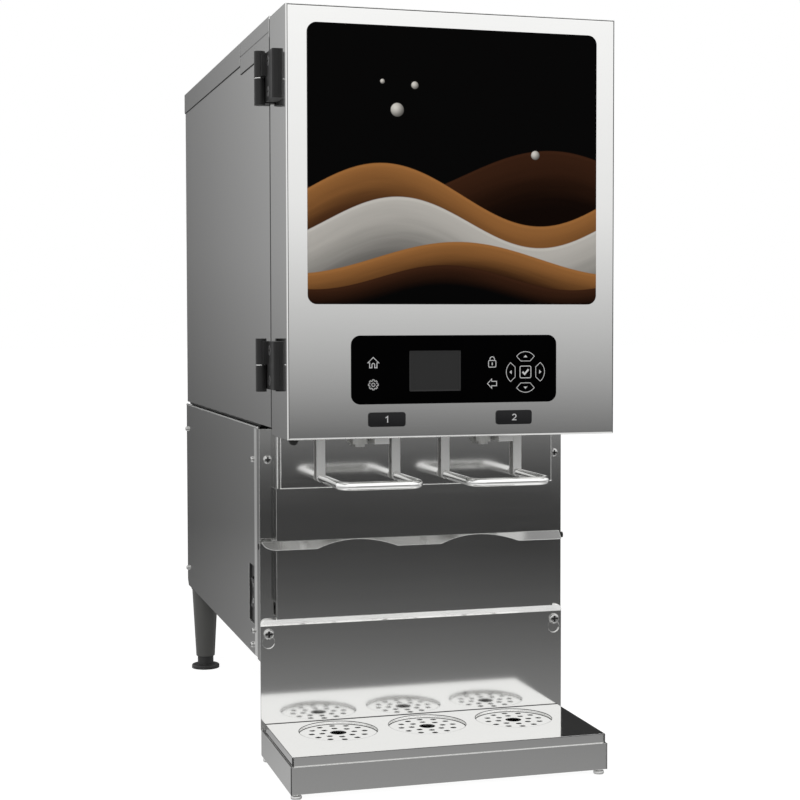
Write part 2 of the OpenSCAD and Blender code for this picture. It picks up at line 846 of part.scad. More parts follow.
// Sleeve through the insulated floor with a flange inside and a spout below
module nozzles() color(white) place() for (s = sides) difference() {
    union() {
        zrod(flange_d, cool_z0, cool_z0 + flange_h, s * nozzle_x, y_nozzle);
        zrod(sleeve_d, z_cab0 - sleeve_low, cool_z0 + over, s * nozzle_x, y_nozzle);
        zrod(nozzle_d, z_spout, z_cab0, s * nozzle_x, y_nozzle);
    }
    zrod(tube_d + 2 * fit_gap, z_spout - over, cool_z0 + flange_h + over, s * nozzle_x, y_nozzle);
}

// Bracket under the cabinet that carries the pivots of both levers
module lever_bracket() color(bright) place() {
    ear_x = strap_w / 2 + move_gap;
    plate_y0 = y_nozzle - sleeve_d / 2 - bracket_front;
    plate_x = nozzle_x + strap_pitch / 2 + ear_x + frame_t + bracket_side;
    block_x = sleeve_d / 2 + block_gap;
    difference() {
        union() {
            box(-plate_x, plate_y0, z_cab0 - frame_t, plate_x, y_mirror - move_gap, z_cab0);
            for (s = sides, e = strap_sides, o = [-1, 1])
                bracket_ear(s * nozzle_x + e * strap_pitch / 2 + o * (ear_x + frame_t / 2));
            for (s = sides)
                box(s * nozzle_x + block_x, plate_y0 + block_front, z_tip + block_up,
                    s * nozzle_x + block_x + block_w, y_mirror - block_rear, z_cab0 - over);
        }
        sleeve_holes(sleeve_d + 2 * fit_gap, z_cab0 - frame_t, z_cab0);
        for (s = sides)
            xrod(pivot_d, s * nozzle_x - strap_pitch, s * nozzle_x - sleeve_d, y_pivot, z_pivot);
        for (s = sides)
            xrod(pivot_d, s * nozzle_x + block_x + block_w + over, s * nozzle_x + strap_pitch,
                y_pivot, z_pivot);
    }
}

// One round-ended ear of the lever bracket
module bracket_ear(x) {
    ear_d = eye_d - ear_less;
    xrod(ear_d, x - frame_t / 2, x + frame_t / 2, y_pivot, z_pivot);
    box(x - frame_t / 2, y_pivot - ear_d / 2, z_pivot, x + frame_t / 2, y_pivot + ear_d / 2, z_cab0 - over);
}

module lever_pins() color(bright) place() for (s = sides, e = strap_sides) {
    pin_x = s * nozzle_x + e * strap_pitch / 2;
    reach = strap_w / 2 + move_gap + frame_t;
    xrod(pivot_d, pin_x - reach, pin_x + reach, y_pivot, z_pivot);
}

// Lift lever: a bent rod loop welded to two straps with eyes at their tops
module lever(s) color(bright) place() {
    half = strap_pitch / 2;
    translate([s * nozzle_x, 0, 0]) {
        for (e = strap_sides) {
            difference() {
                union() {
                    xrod(eye_d, e * half - strap_w / 2, e * half + strap_w / 2, y_pivot, z_pivot);
                    box(e * half - strap_w / 2, y_strap, z_rod,
                        e * half + strap_w / 2, y_strap + strap_t, z_pivot);
                    yrod(strap_w, y_strap, y_strap + strap_t, e * half, z_rod);
                }
                xrod(pivot_d + 2 * run_gap, e * half - strap_w, e * half + strap_w, y_pivot, z_pivot);
            }
            yrod(rod_d, y_loop + rod_bend, y_strap + strap_t, e * half, z_rod);
            translate([e * (half - rod_bend), y_loop + rod_bend, z_rod])
                rotate([0, 0, e < 0 ? 180 : 270])
                    rotate_extrude(angle = 90) translate([rod_bend, 0]) circle(d = rod_d);
        }
        xrod(rod_d, -half + rod_bend, half - rod_bend, y_loop, z_rod);
    }
}

module lever_left() lever(-1);
module lever_right() lever(1);

// Switches behind the nozzle panel, with buttons that the inner straps rest on
module lever_switches() color(black) place() for (s = sides) {
    switch_x = s * (nozzle_x - strap_pitch / 2);
    button_z = z_rod + button_up;
    box(switch_x - lever_switch_w / 2, y_mirror + sheet, button_z - lever_switch_h / 2,
        switch_x + lever_switch_w / 2, y_low, button_z + lever_switch_h / 2);
    yrod(strap_w / 2, y_strap + strap_t + move_gap, y_mirror + sheet + over, switch_x, button_z);
}

// Welded frame of the base: pan, posts, top rails and the spacers under the cabinet
module base_chassis() color(steel) place() {
    post_lap = 6;
    pan_x = base_x - sheet;
    rail_x = pan_x - rail;
    lean_x = pan_x - hem_in;
    lean_y = y_side0 + hem_w;
    pan_y1 = y_base1 - sheet;
    rail_z = z_base1 - rail;
    difference() {
        union() {
            box(-lean_x, y_post, z_base, lean_x, pan_y1, z_base + frame_t);
            box(-pan_x, lean_y, z_base, pan_x, pan_y1, z_base + frame_t);
            for (s = sides) mirror([s < 0 ? 1 : 0, 0, 0]) {
                box(low_x - post_lap, y_post, z_base, post_x, y_post + frame_t, z_base1);
                box(post_x - frame_t, y_post, z_base, post_x, y_side0 - fit_gap, z_base1);
                box(rail_x, y_post, rail_z, lean_x, lean_y, rail_z + frame_t);
                box(rail_x, lean_y, rail_z, pan_x, pan_y1, rail_z + frame_t);
                box(pan_x - frame_t, lean_y, rail_z, pan_x, pan_y1, z_base1);
                box(rail_x, pan_y1 - frame_t, z_base, pan_x, pan_y1, z_base1);
                for (y = [y_side0 + tab_front, (y_side0 + y_base1) / 2, y_base1 - tab_rear])
                    box(rail_x, y, rail_z, rail_x + frame_t, y + tab_l, z_cab0);
            }
            box(-pan_x, pan_y1 - frame_t, rail_z, pan_x, pan_y1, z_base1);
        }
        for (s = sides) ledge_plug(s);
    }
}

// Outline of a side panel in depth and height, with its cut lower rear corner
function side_outline() = [
    [y_side0 + hem_w, z_base], [y_base1 - side_cut, z_base], [y_base1, z_base + side_cut],
    [y_base1, z_base1], [y_side0 + hem_w, z_base1]
];

// Side panel whose front edge leans in to an inward hem
module side_panel(s) mirror([s < 0 ? 1 : 0, 0, 0]) {
    side_plate(side_outline(), base_x - sheet, base_x);
    translate([0, 0, z_base]) linear_extrude(base_h) polygon([
        [base_x - hem_in, y_side0], [base_x, y_side0 + hem_w], [base_x - sheet, y_side0 + hem_w],
        [base_x - hem_in - sheet, y_side0]
    ]);
    box(low_x, y_side0, z_base + frame_t, base_x - hem_in, y_side0 + sheet, z_base1 - rail - fit_gap);
}

module left_side_panel() color(steel) place() difference() {
    side_panel(-1);
    box(-base_x - over, switch_y, switch_z, -base_x + sheet + over, switch_y + switch_w, switch_z + switch_h);
}

module right_side_panel() color(steel) place() side_panel(1);

// Rear panel with rows of air slots and the cut for the power inlet
module rear_panel() color(steel) place() difference() {
    rear_x = base_x - sheet;
    box(-rear_x, y_base1 - sheet, z_base, rear_x, y_base1, z_base1);
    for (i = [0:vent_rows - 1], s = sides)
        face_plate(vent_w, vent_h, vent_r, s * vent_x, hot_fan_z + (i - (vent_rows - 1) / 2) * vent_pitch,
            y_base1 - sheet - over, y_base1 + over);
    box(inlet_x - inlet_w / 2, y_base1 - sheet - over, inlet_z - inlet_h / 2,
        inlet_x + inlet_w / 2, y_base1 + over, inlet_z + inlet_h / 2);
}

// Pan-shaped front panel between the posts, open below for the splash panel
module lower_front_panel() color(steel) place() {
    notch = z_low + splash_lift + strip_h;
    difference() {
        box(-low_x, y_low, z_low, low_x, y_post, z_base1);
        box(-low_x + sheet, y_low + sheet, 0, low_x - sheet, y_post + over, z_base1 + over);
        box(-low_x - over, y_low + low_out / 2, 0, low_x + over, y_post + over, notch);
    }
}

// Room for a lever switch in the panel behind it
module switch_hole(s)
    yrod(strap_w / 2 + over, y_mirror - over, y_mirror + sheet + over, s * (nozzle_x - strap_pitch / 2),
        z_rod + button_up);

// Polished pan behind the levers
module nozzle_panel() color(bright) place() difference() {
    box(-mirror_x, y_mirror, z_mirror, mirror_x, y_low, z_cab0);
    box(-mirror_x + sheet, y_mirror + sheet, z_mirror + sheet, mirror_x - sheet, y_low + over, z_cab0 + over);
    for (s = sides) switch_hole(s);
}

// Sloped lip across the front with two scallops for cups
module cup_ledge() color(steel) place() {
    ledge_y = y_low - ledge_out;
    ledge_top = z_ledge + ledge_h;
    scallop_r = (pow(scallop_w / 2, 2) + pow(scallop_h, 2)) / (2 * scallop_h);
    difference() {
        intersection() {
            side_plate([
                [y_low, ledge_top], [ledge_y, z_ledge], [ledge_y + ledge_t, z_ledge],
                [y_low, ledge_top - ledge_t * ledge_h / ledge_out]
            ], -ledge_x, ledge_x);
            translate([0, y_low + over, z_ledge])
                rotate([90, 0, 0])
                    linear_extrude(ledge_out + 2 * over) ledge_outline();
        }
        for (s = sides)
            yrod(2 * scallop_r, ledge_y - over, y_low + over, s * nozzle_x, z_ledge + scallop_h - scallop_r);
    }
}

// The lip seen from the front, with its lower corners rounded off
module ledge_outline() {
    translate([-ledge_x + ledge_r, 0]) square([2 * (ledge_x - ledge_r), ledge_h]);
    for (s = sides) translate([s * (ledge_x - ledge_r), ledge_h]) intersection() {
        scale([1, ledge_h / ledge_r]) circle(ledge_r);
        translate([-ledge_r, -ledge_h]) square([2 * ledge_r, ledge_h]);
    }
}

// Round plug pressed into the outer side of a front post
module ledge_plug(s) mirror([s < 0 ? 1 : 0, 0, 0])
    xrod(plug_d, post_x - plug_sink, s < 0 ? post_x + plug_flush : ledge_x + plug_out,
        y_post + plug_back, z_base + plug_up);

module ledge_plugs() color(black) place() for (s = sides) ledge_plug(s);

// Hermetic compressor on its baseplate and rubber mounts
module compressor() color(black) place() {
    shell_r = compressor_d / 5;
    mount_d = 24;
    mount_in = 1.2 * mount_d;
    mount_h = 10;
    mid_y = y_side0 + comp_back;
    plate_z = z_base + frame_t + mount_h;
    translate([0, mid_y, plate_z + frame_t]) rotate_extrude() {
        square([compressor_d / 2, compressor_h - shell_r]);
        square([compressor_d / 2 - shell_r, compressor_h]);
        translate([compressor_d / 2 - shell_r, compressor_h - shell_r]) intersection() {
            circle(shell_r);
            square(shell_r);
        }
    }
    box(-comp_plate_w / 2, mid_y - comp_plate_d / 2, plate_z,
        comp_plate_w / 2, mid_y + comp_plate_d / 2, plate_z + frame_t);
    for (x = [-1, 1], y = [-1, 1])
        zrod(mount_d, z_base + frame_t, plate_z,
            x * (comp_plate_w - mount_in) / 2, mid_y + y * (comp_plate_d - mount_in) / 2);
}

module condenser_coil() color(dark) place()
    finned_coil(shroud_x, y_hot_cover + fan_room + fin_gap, y_hot_cover + fan_room + fin_gap + condenser_d,
        z_base + frame_t, z_shroud, hot_fins, hot_rows);

module fan_shroud() color(black) place() {
    difference() {
        box(-shroud_x, y_hot_cover, z_base + frame_t, shroud_x, y_hot_cover + frame_t, z_shroud);
        yrod(hot_fan_d + 2 * fan_air_gap, y_hot_cover - over, y_hot_cover + frame_t + over, 0, hot_fan_z);
    }
    translate([0, y_hot_cover, hot_fan_z]) rotate([-90, 0, 0]) fan_carrier(hot_fan_d);
}

module condenser_fan() color(dark) place()
    translate([0, y_hot_cover, hot_fan_z]) rotate([-90, 0, 0]) fan_wheel(hot_fan_d);

// Sunk plate in the side opening with the rocker's pocket
module switch_frame() color(black) place() {
    mid_y = switch_y + switch_w / 2;
    mid_z = switch_z + switch_h / 2;
    difference() {
        union() {
            box(-base_x + switch_sink, switch_y + fit_gap, switch_z + fit_gap,
                -base_x + switch_depth, switch_y + switch_w - fit_gap, switch_z + switch_h - fit_gap);
            box(-base_x + sheet, switch_y - switch_lip, switch_z - switch_lip,
                -base_x + switch_depth, switch_y + switch_w + switch_lip, switch_z + switch_h + switch_lip);
        }
        box(-base_x, switch_y + fit_gap, switch_z + fit_gap,
            -base_x + switch_sink, switch_y + switch_w - fit_gap, switch_z + switch_h - fit_gap);
        box(-base_x, mid_y - rocker_w / 2 - move_gap, mid_z - rocker_h / 2 - rocker_room,
            -base_x + switch_depth - frame_t, mid_y + rocker_w / 2 + move_gap,
            mid_z + rocker_h / 2 + rocker_room);
        yrod(rocker_pin_d + 2 * run_gap, mid_y - rocker_w / 2 - rocker_pin_room,
            mid_y + rocker_w / 2 + rocker_pin_room, rocker_x, mid_z);
    }
}

// Rocker with two finger slopes, turning on its own pins
module power_rocker() color(dark) place() {
    mid_y = switch_y + switch_w / 2;
    mid_z = switch_z + switch_h / 2;
    face_x = -base_x + switch_sink - rocker_stand;
    edge_x = face_x + rocker_edge;
    heel_x = rocker_x + rocker_heel;
    translate([0, mid_y + rocker_w / 2, 0]) rotate([90, 0, 0]) linear_extrude(rocker_w) polygon([
        [face_x, mid_z - rocker_h / 2], [face_x + rocker_stand, mid_z], [face_x, mid_z + rocker_h / 2],
        [edge_x, mid_z + rocker_h / 2], [heel_x, mid_z + rocker_heel], [heel_x, mid_z - rocker_heel],
        [edge_x, mid_z - rocker_h / 2]
    ]);
    yrod(rocker_pin_d, mid_y - rocker_w / 2 - rocker_pin_out, mid_y + rocker_w / 2 + rocker_pin_out,
        rocker_x, mid_z);
}

// Three-pin appliance inlet with its flange and pocket
module power_inlet() color(black) place() {
    difference() {
        union() {
            face_plate(inlet_w + 2 * inlet_flange, inlet_h + 2 * inlet_flange, inlet_r,
                inlet_x, inlet_z, y_base1, y_base1 + inlet_t);
            box(inlet_x - inlet_w / 2 + fit_gap, y_base1 - pocket_d - frame_t,
                inlet_z - inlet_h / 2 + fit_gap, inlet_x + inlet_w / 2 - fit_gap,
                y_base1 + over, inlet_z + inlet_h / 2 - fit_gap);
        }
        face_plate(pocket_w, pocket_h, inlet_r, inlet_x, inlet_z,
            y_base1 - pocket_d, y_base1 + inlet_t + over);
    }
    for (p = [[-prong_x, -prong_z], [0, prong_z], [prong_x, -prong_z]])
        box(inlet_x + p[0] - prong_w / 2, y_base1 - pocket_d - over, inlet_z + p[1] - prong_h / 2,
            inlet_x + p[0] + prong_w / 2, y_base1 - prong_sink, inlet_z + p[1] + prong_h / 2);
}

// Four tapered legs, each bored for the stem of its foot
module legs() color(dark) place() for (s = sides, row = leg_rows) translate([s * leg_x[row], leg_y[row], 0]) {
    z_leg = foot_h + collar_h + move_gap;
    difference() {
        union() {
            translate([0, 0, z_leg]) cylinder(d1 = leg_low_d, d2 = leg_top_d, h = z_base - z_leg);
            translate([0, 0, z_base - frame_t]) cylinder(d = leg_top_d + leg_flange, h = frame_t);
        }
        translate([0, 0, z_leg - over]) cylinder(d = stem_d + 2 * run_gap, h = z_base - z_leg - leg_cap);
    }
}

// Levelling foot: flat disc, collar and stem
module levelling_foot(s, row) color(black) place() translate([s * leg_x[row], leg_y[row], 0]) {
    stem_l = 50;
    cylinder(d = foot_d, h = foot_h - foot_edge);
    translate([0, 0, foot_h - foot_edge]) cylinder(d1 = foot_d, d2 = foot_d - 2 * foot_edge, h = foot_edge);
    cylinder(d = collar_d, h = foot_h + collar_h);
    cylinder(d = stem_d, h = foot_h + collar_h + stem_l);
}

module foot_front_left() levelling_foot(-1, leg_rows[0]);
module foot_front_right() levelling_foot(1, leg_rows[0]);
module foot_rear_left() levelling_foot(-1, leg_rows[1]);
module foot_rear_right() levelling_foot(1, leg_rows[1]);

// Keyhole screws, post screws and the screws of the side panels
module panel_screws() color(bright) place() for (s = sides) {
    head_front(key_head_d, s * key_x, y_splash - move_gap, z_key);
    yrod(key_shank_d, y_splash - move_gap - over, y_post, s * key_x, z_key);
    head_front(post_screw_d, s * key_x, y_post, z_base1 - post_screw_down);
    mirror([s < 0 ? 1 : 0, 0, 0])
        for (p = side_screws)
            translate([base_x, p[0], p[1]]) rotate([0, 90, 0]) pan_head(side_screw_d);
}

// Hinge leaf plate lying on a side at x, with the edge of its free end bevelled
module leaf_plate(x, y_end, y_free, z) {
    y_edge = y_free + (y_free < y_end ? leaf_edge : -leaf_edge);
    translate([0, 0, z - leaf_h / 2]) linear_extrude(leaf_h) polygon([
        [x, y_end], [x - leaf_t, y_end], [x - leaf_t, y_edge], [x - leaf_t + leaf_edge, y_free], [x, y_free]
    ]);
}

// Countersunk hole for a leaf's screw, entered at the leaf's outer face
module leaf_hole(y, z) translate([-door_x - leaf_t, y, z]) rotate([0, 90, 0]) {
    translate([0, 0, -over]) cylinder(d = leaf_screw_d, h = over);
    cylinder(d1 = leaf_screw_d, d2 = leaf_screw_d / 2, h = leaf_screw_d / 4);
    cylinder(d = leaf_screw_d / 2, h = leaf_t + over);
}

// Hinge leaves on the cabinet's side with the lower knuckles
module hinge_frame_leaves() color(black) place() for (z = hinge_z) difference() {
    union() {
        leaf_plate(-wrap_x, leaf_y1, leaf_y1 + frame_leaf_l, z);
        box(hinge_x, y_hinge + knuckle_d / 4, z - leaf_h / 2,
            -wrap_x - over, leaf_y1 + arm_lap, z - washer_t / 2);
        zrod(knuckle_d, z - hinge_h / 2, z - washer_t / 2, hinge_x, y_hinge);
    }
    zrod(hinge_pin_d, z - hinge_h / 2 + pin_wall, z + hinge_h, hinge_x, y_hinge);
}

// Hinge leaves on the door's side with the upper knuckles
module hinge_door_leaves() color(black) place() for (z = hinge_z) difference() {
    union() {
        leaf_plate(-door_x, leaf_y0, leaf_y0 - leaf_l, z);
        box(hinge_x, leaf_y0 - arm_lap, z + washer_t / 2 + move_gap, -door_x, y_hinge, z + leaf_h / 2);
        zrod(knuckle_d, z + washer_t / 2 + move_gap, z + hinge_h / 2, hinge_x, y_hinge);
    }
    zrod(hinge_pin_d + 2 * run_gap, z - hinge_h, z + hinge_h / 2 - pin_wall, hinge_x, y_hinge);
    for (s = sides) leaf_hole(leaf_y0 - leaf_screw_in, z + s * leaf_screw_z);
}

// Hinge pins with the bright washer between the knuckles
module hinge_pins() color(bright) place() for (z = hinge_z) {
    zrod(hinge_pin_d, z - hinge_h / 2 + pin_wall, z + hinge_h / 2 - pin_wall - move_gap, hinge_x, y_hinge);
    zrod(knuckle_d - washer_in, z - washer_t / 2, z + washer_t / 2, hinge_x, y_hinge);
}

// Outside of the door, with the bend radius of its folded sheet on the four front edges
module door_block() intersection() {
    translate([0, 0, z_door0]) linear_extrude(door_h) front_rounded(door_w, door_t, door_r);
    translate([-door_x, 0, (z_door0 + z_door1) / 2]) rotate([0, 90, 0])
        linear_extrude(door_w) front_rounded(door_h, door_t, door_r);
}

// A rectangle across X from Y = 0 to its depth, with its two front corners rounded
module front_rounded(w, d, r) {
    translate([-w / 2, r]) square([w, d - r]);
    translate([-w / 2 + r, 0]) square([w - 2 * r, d]);
    for (s = sides) translate([s * (w / 2 - r), r]) circle(r);
}

// Steel pan of the door with the cut for the display
module door_shell() color(steel) place() difference() {
    door_block();
    box(-door_x + shell_t, shell_t, z_door0 + shell_t, door_x - shell_t, door_t + over, z_door1 - shell_t);
    box(lcd_x - lcd_w / 2 - lcd_rim, -over, z_lcd - lcd_h / 2 - lcd_rim,
        lcd_x + lcd_w / 2 + lcd_rim, shell_t + over, z_lcd + lcd_h / 2 + lcd_rim);
}

// Moulded back of the door with the rim that reaches into the cool space
module door_liner() color(white) place() {
    back_t = 4;
    dyke_x = cool_x - dyke_gap;
    dyke_z0 = cool_z0 + dyke_gap;
    dyke_z1 = cool_z1 - dyke_gap;
    dyke_t = 10;
    box(-door_x + shell_t, door_t - back_t, z_door0 + shell_t, door_x - shell_t, door_t, z_door1 - shell_t);
    difference() {
        box(-dyke_x, door_t - over, dyke_z0, dyke_x, door_t + dyke_d, dyke_z1);
        box(-dyke_x + dyke_t, door_t - 2 * over, dyke_z0 + dyke_t,
            dyke_x - dyke_t, door_t + dyke_d + over, dyke_z1 - dyke_t);
    }
}

// Gasket round the back of the door, flush with its sides, that meets the liner's flange
module door_gasket() color(dark) place() {
    mid_z = (z_cab0 + z_door1) / 2;
    seal_h = z_door1 - z_cab0;
    difference() {
        face_plate(door_w, seal_h, gasket_r, 0, mid_z, door_t, y_cab0 - move_gap);
        face_plate(door_w - 2 * gasket_w, seal_h - 2 * gasket_w, gasket_r, 0, mid_z,
            door_t - over, y_cab0 + over);
    }
}

module graphic_panel() color(print_black) place()
    face_plate(graphic_w, graphic_h, panel_r, 0, z_graphic, -graphic_t, 0);

module keypad_overlay() color(black) place() difference() {
    face_plate(keypad_w, keypad_h, panel_r, 0, z_keypad, -keypad_t, 0);
    face_plate(lcd_w, lcd_h, lcd_r, lcd_x, z_lcd, -keypad_t - over, over);
}

module lcd_module() color(dark) place()
    box(lcd_x - lcd_w / 2 - lcd_rim + fit_gap, 0, z_lcd - lcd_h / 2 - lcd_rim + fit_gap,
        lcd_x + lcd_w / 2 + lcd_rim - fit_gap, lcd_t, z_lcd + lcd_h / 2 + lcd_rim - fit_gap);

// Circuit board behind the display, with its connector blocks
module control_board() color(board_green) place() {
    board_x = keypad_w / 2 - board_side;
    board_z = keypad_h / 2 - board_edge;
    box(-board_x, lcd_t, z_keypad - board_z, board_x, lcd_t + board_t, z_keypad + board_z);
    for (x = connector_x)
        box(x - connector_w / 2, lcd_t + board_t / 2, z_keypad - connector_h / 2,
            x + connector_w / 2, lcd_t + board_t + connector_d, z_keypad + connector_h / 2);
}

module label_plates() color(black) place() for (x = label_x)
    face_plate(label_w, label_h, label_r, x, z_label, -label_t, 0);

// Hung splash panel with a bent top strip and two keyholes
module splash_panel() color(steel) place() {
    strip_r = strip_h - shell_t;
    difference() {
        box(-post_x, y_splash, z_splash, post_x, y_splash + shell_t, z_bend);
        for (s = sides) keyhole(s * key_x);
    }
    translate([0, y_splash + shell_t, z_bend]) rotate([90 + strip_angle, 0, 0]) linear_extrude(shell_t) {
        translate([-post_x + strip_r, 0]) square([2 * (post_x - strip_r), strip_h]);
        translate([-post_x, 0]) square([2 * post_x, strip_h - strip_r]);
        for (s = sides) translate([s * (post_x - strip_r), strip_h - strip_r]) intersection() {
            circle(strip_r);
            translate([-strip_r, 0]) square([2 * strip_r, strip_r]);
        }
    }
}

// Keyhole whose wide end lies below the screw by the panel's lift
module keyhole(x) {
    slot_w = key_shank_d + 2 * move_gap;
    yrod(slot_w, y_splash - over, y_splash + shell_t + over, x, z_key);
    box(x - slot_w / 2, y_splash - over, z_key - splash_lift,
        x + slot_w / 2, y_splash + shell_t + over, z_key);
    yrod(key_head_d + key_room, y_splash - over, y_splash + shell_t + over, x, z_key - splash_lift);
}

// Tray box with a turned-in rim that carries the lid
module tray_box() color(steel) place() {
    mid_y = (tray_front + y_tray1) / 2;
    tray_l = y_tray1 - tray_front;
    difference() {
        translate([0, mid_y, z_tray]) linear_extrude(tray_h) rounded(2 * tray_x, tray_l, tray_r);
        translate([0, mid_y, z_tray + sheet])
            linear_extrude(tray_h - 2 * sheet)
                rounded(2 * (tray_x - sheet), tray_l - 2 * sheet, tray_r / 2);
        translate([0, mid_y, z_tray + sheet])
            linear_extrude(tray_h)
                rounded(2 * (tray_x - rim_w), tray_l - 2 * rim_w, tray_r / 2);
    }
}

// Lid with folded sides, open corners and three pressed drip discs
module tray_lid() color(bright) place() {
    lid_y0 = tray_front + lid_inset;
    lid_y1 = y_splash - move_gap;
    lid_l = lid_y1 - lid_y0;
    mid_y = (lid_y0 + lid_y1) / 2;
    disc_y = lid_y1 - lid_l * disc_share;
    difference() {
        union() {
            difference() {
                translate([0, mid_y, z_rim]) linear_extrude(lid_h) rounded(2 * lid_x, lid_l, tray_r);
                translate([0, mid_y, z_rim - over])
                    linear_extrude(lid_h + over - sheet)
                        rounded(2 * (lid_x - sheet), lid_l - 2 * sheet, tray_r / 2);
            }
            for (i = disc_row)
                zrod(disc_d + 2 * sheet, z_lid - disc_depth - sheet, z_lid, i * disc_pitch, disc_y);
        }
        for (s = sides, y = [lid_y0, lid_y1])
            box(s * lid_x - lid_slit, y - lid_slit, z_rim - over,
                s * lid_x + lid_slit, y + lid_slit, z_lid - sheet);
        for (i = disc_row) {
            zrod(disc_d, z_lid - disc_depth, z_lid + over, i * disc_pitch, disc_y);
            translate([i * disc_pitch, disc_y, 0]) drip_holes();
        }
    }
}

// Two circles of drip holes round a larger one
module drip_holes() {
    zrod(drip_mid_d, z_rim, z_lid, 0, 0);
    for (ring = [[drip_ring_out, drip_count_out], [drip_ring_in, drip_count_in]], i = [0:ring[1] - 1])
        rotate([0, 0, i * 360 / ring[1]]) zrod(drip_d, z_rim, z_lid, ring[0] / 2, 0);
}

module tray_feet() color(steel) place()
    for (s = sides, y = [tray_front + tray_foot_in, y_tray1 - tray_foot_in])
        zrod(tray_foot_d, 0, z_tray, s * (tray_x - tray_foot_in), y);

cabinet_wrap();
cabinet_floor();
cabinet_insulation();
inner_liner();
top_cover();
top_front_trim();
evaporator_coil();
evaporator_cover();
evaporator_fan();
milk_bin_left();
milk_bin_right();
bin_lid_left();
bin_lid_right();
product_tubes();
valve_body_left();
valve_body_right();
plunger_left();
plunger_right();
nozzles();
lever_bracket();
lever_pins();
lever_left();
lever_right();
lever_switches();
base_chassis();
left_side_panel();
right_side_panel();
rear_panel();
lower_front_panel();
nozzle_panel();
cup_ledge();
ledge_plugs();
compressor();
condenser_coil();
fan_shroud();
condenser_fan();
switch_frame();
power_rocker();
power_inlet();
legs();
foot_front_left();
foot_front_right();
foot_rear_left();
foot_rear_right();
panel_screws();
hinge_frame_leaves();
hinge_pins();
door_shell();
door_liner();
door_gasket();
graphic_panel();
keypad_overlay();
lcd_module();
control_board();
label_plates();
hinge_door_leaves();
splash_panel();
tray_box();
tray_lid();
tray_feet();
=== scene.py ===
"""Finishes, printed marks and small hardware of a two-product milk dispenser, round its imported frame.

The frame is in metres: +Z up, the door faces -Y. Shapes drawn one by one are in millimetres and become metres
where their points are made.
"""
import math
from functools import partial
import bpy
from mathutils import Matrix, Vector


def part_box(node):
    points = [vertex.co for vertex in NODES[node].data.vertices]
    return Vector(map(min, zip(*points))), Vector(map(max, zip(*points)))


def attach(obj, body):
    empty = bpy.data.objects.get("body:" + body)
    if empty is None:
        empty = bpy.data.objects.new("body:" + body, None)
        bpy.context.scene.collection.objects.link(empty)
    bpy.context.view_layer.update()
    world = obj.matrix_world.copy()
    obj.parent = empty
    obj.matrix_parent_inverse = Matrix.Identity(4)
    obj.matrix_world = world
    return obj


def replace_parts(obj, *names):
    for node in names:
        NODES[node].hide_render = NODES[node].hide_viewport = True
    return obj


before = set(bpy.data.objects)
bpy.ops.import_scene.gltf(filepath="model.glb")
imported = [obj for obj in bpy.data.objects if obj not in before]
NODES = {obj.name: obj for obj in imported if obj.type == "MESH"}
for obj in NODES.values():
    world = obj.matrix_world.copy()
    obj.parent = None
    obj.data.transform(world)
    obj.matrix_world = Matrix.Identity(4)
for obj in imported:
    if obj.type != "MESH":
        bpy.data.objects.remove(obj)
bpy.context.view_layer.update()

from types import SimpleNamespace

import bmesh
import bpy
from bpy.props import FloatProperty, FloatVectorProperty, PointerProperty
from mathutils import Matrix, Vector

bl_info = {
    "name": "Milk Dispenser Dressing",
    "version": (1, 1, 0),
    "blender": (4, 5, 0),
    "location": "View3D > Sidebar > Dispenser",
    "description": "Finishes, printed marks and small hardware of a milk dispenser",
    "category": "Object",
}

MM = 0.001

# Places and sizes in millimetres, measured from the box of a node

# Middle of the bumper from the door's lower left front corner
BUMPER_INSET = Vector((10.4, 20.0, 0.0))

# Flat part of a hinge's door leaf, and its two screws
LEAF_HEIGHT = 52.0
LEAF_THICKNESS = 6.0
LEAF_SCREW_INSET = 25.0
LEAF_SCREW_REACH = 16.3

# How far a lever's straps reach forward of its back
STRAP_DEPTH = 11.5

# Screws on the posts: in from the base's sides, down from the side panels' top or up from the splash panel's
# lower edge, and the gap behind the heads that carry the splash panel
POST_SCREW_INSET = 9.5
POST_SCREW_DROP = 35.0
KEY_SCREW_RISE = 110.5
KEY_STANDOFF = 2.1

# Screws on each side panel: back from its front edge and up from its lower edge
SIDE_SCREWS = ((30, 229), (27, 28), (36, 10), (548, 232), (548, 26))

# Start of the splash panel's satin strip, painted paler as a painted highlight, above its lower edge, and the
# room that this panel needs to lift
STRIP_RISE = 121.0
SPLASH_ROOM = 20.0

# Middle of the arrow keys from the middle of the keypad, and the distance of each key from there
ARROW_MIDDLE = (79.7, -3.8)
ARROW_REACH = 17.1


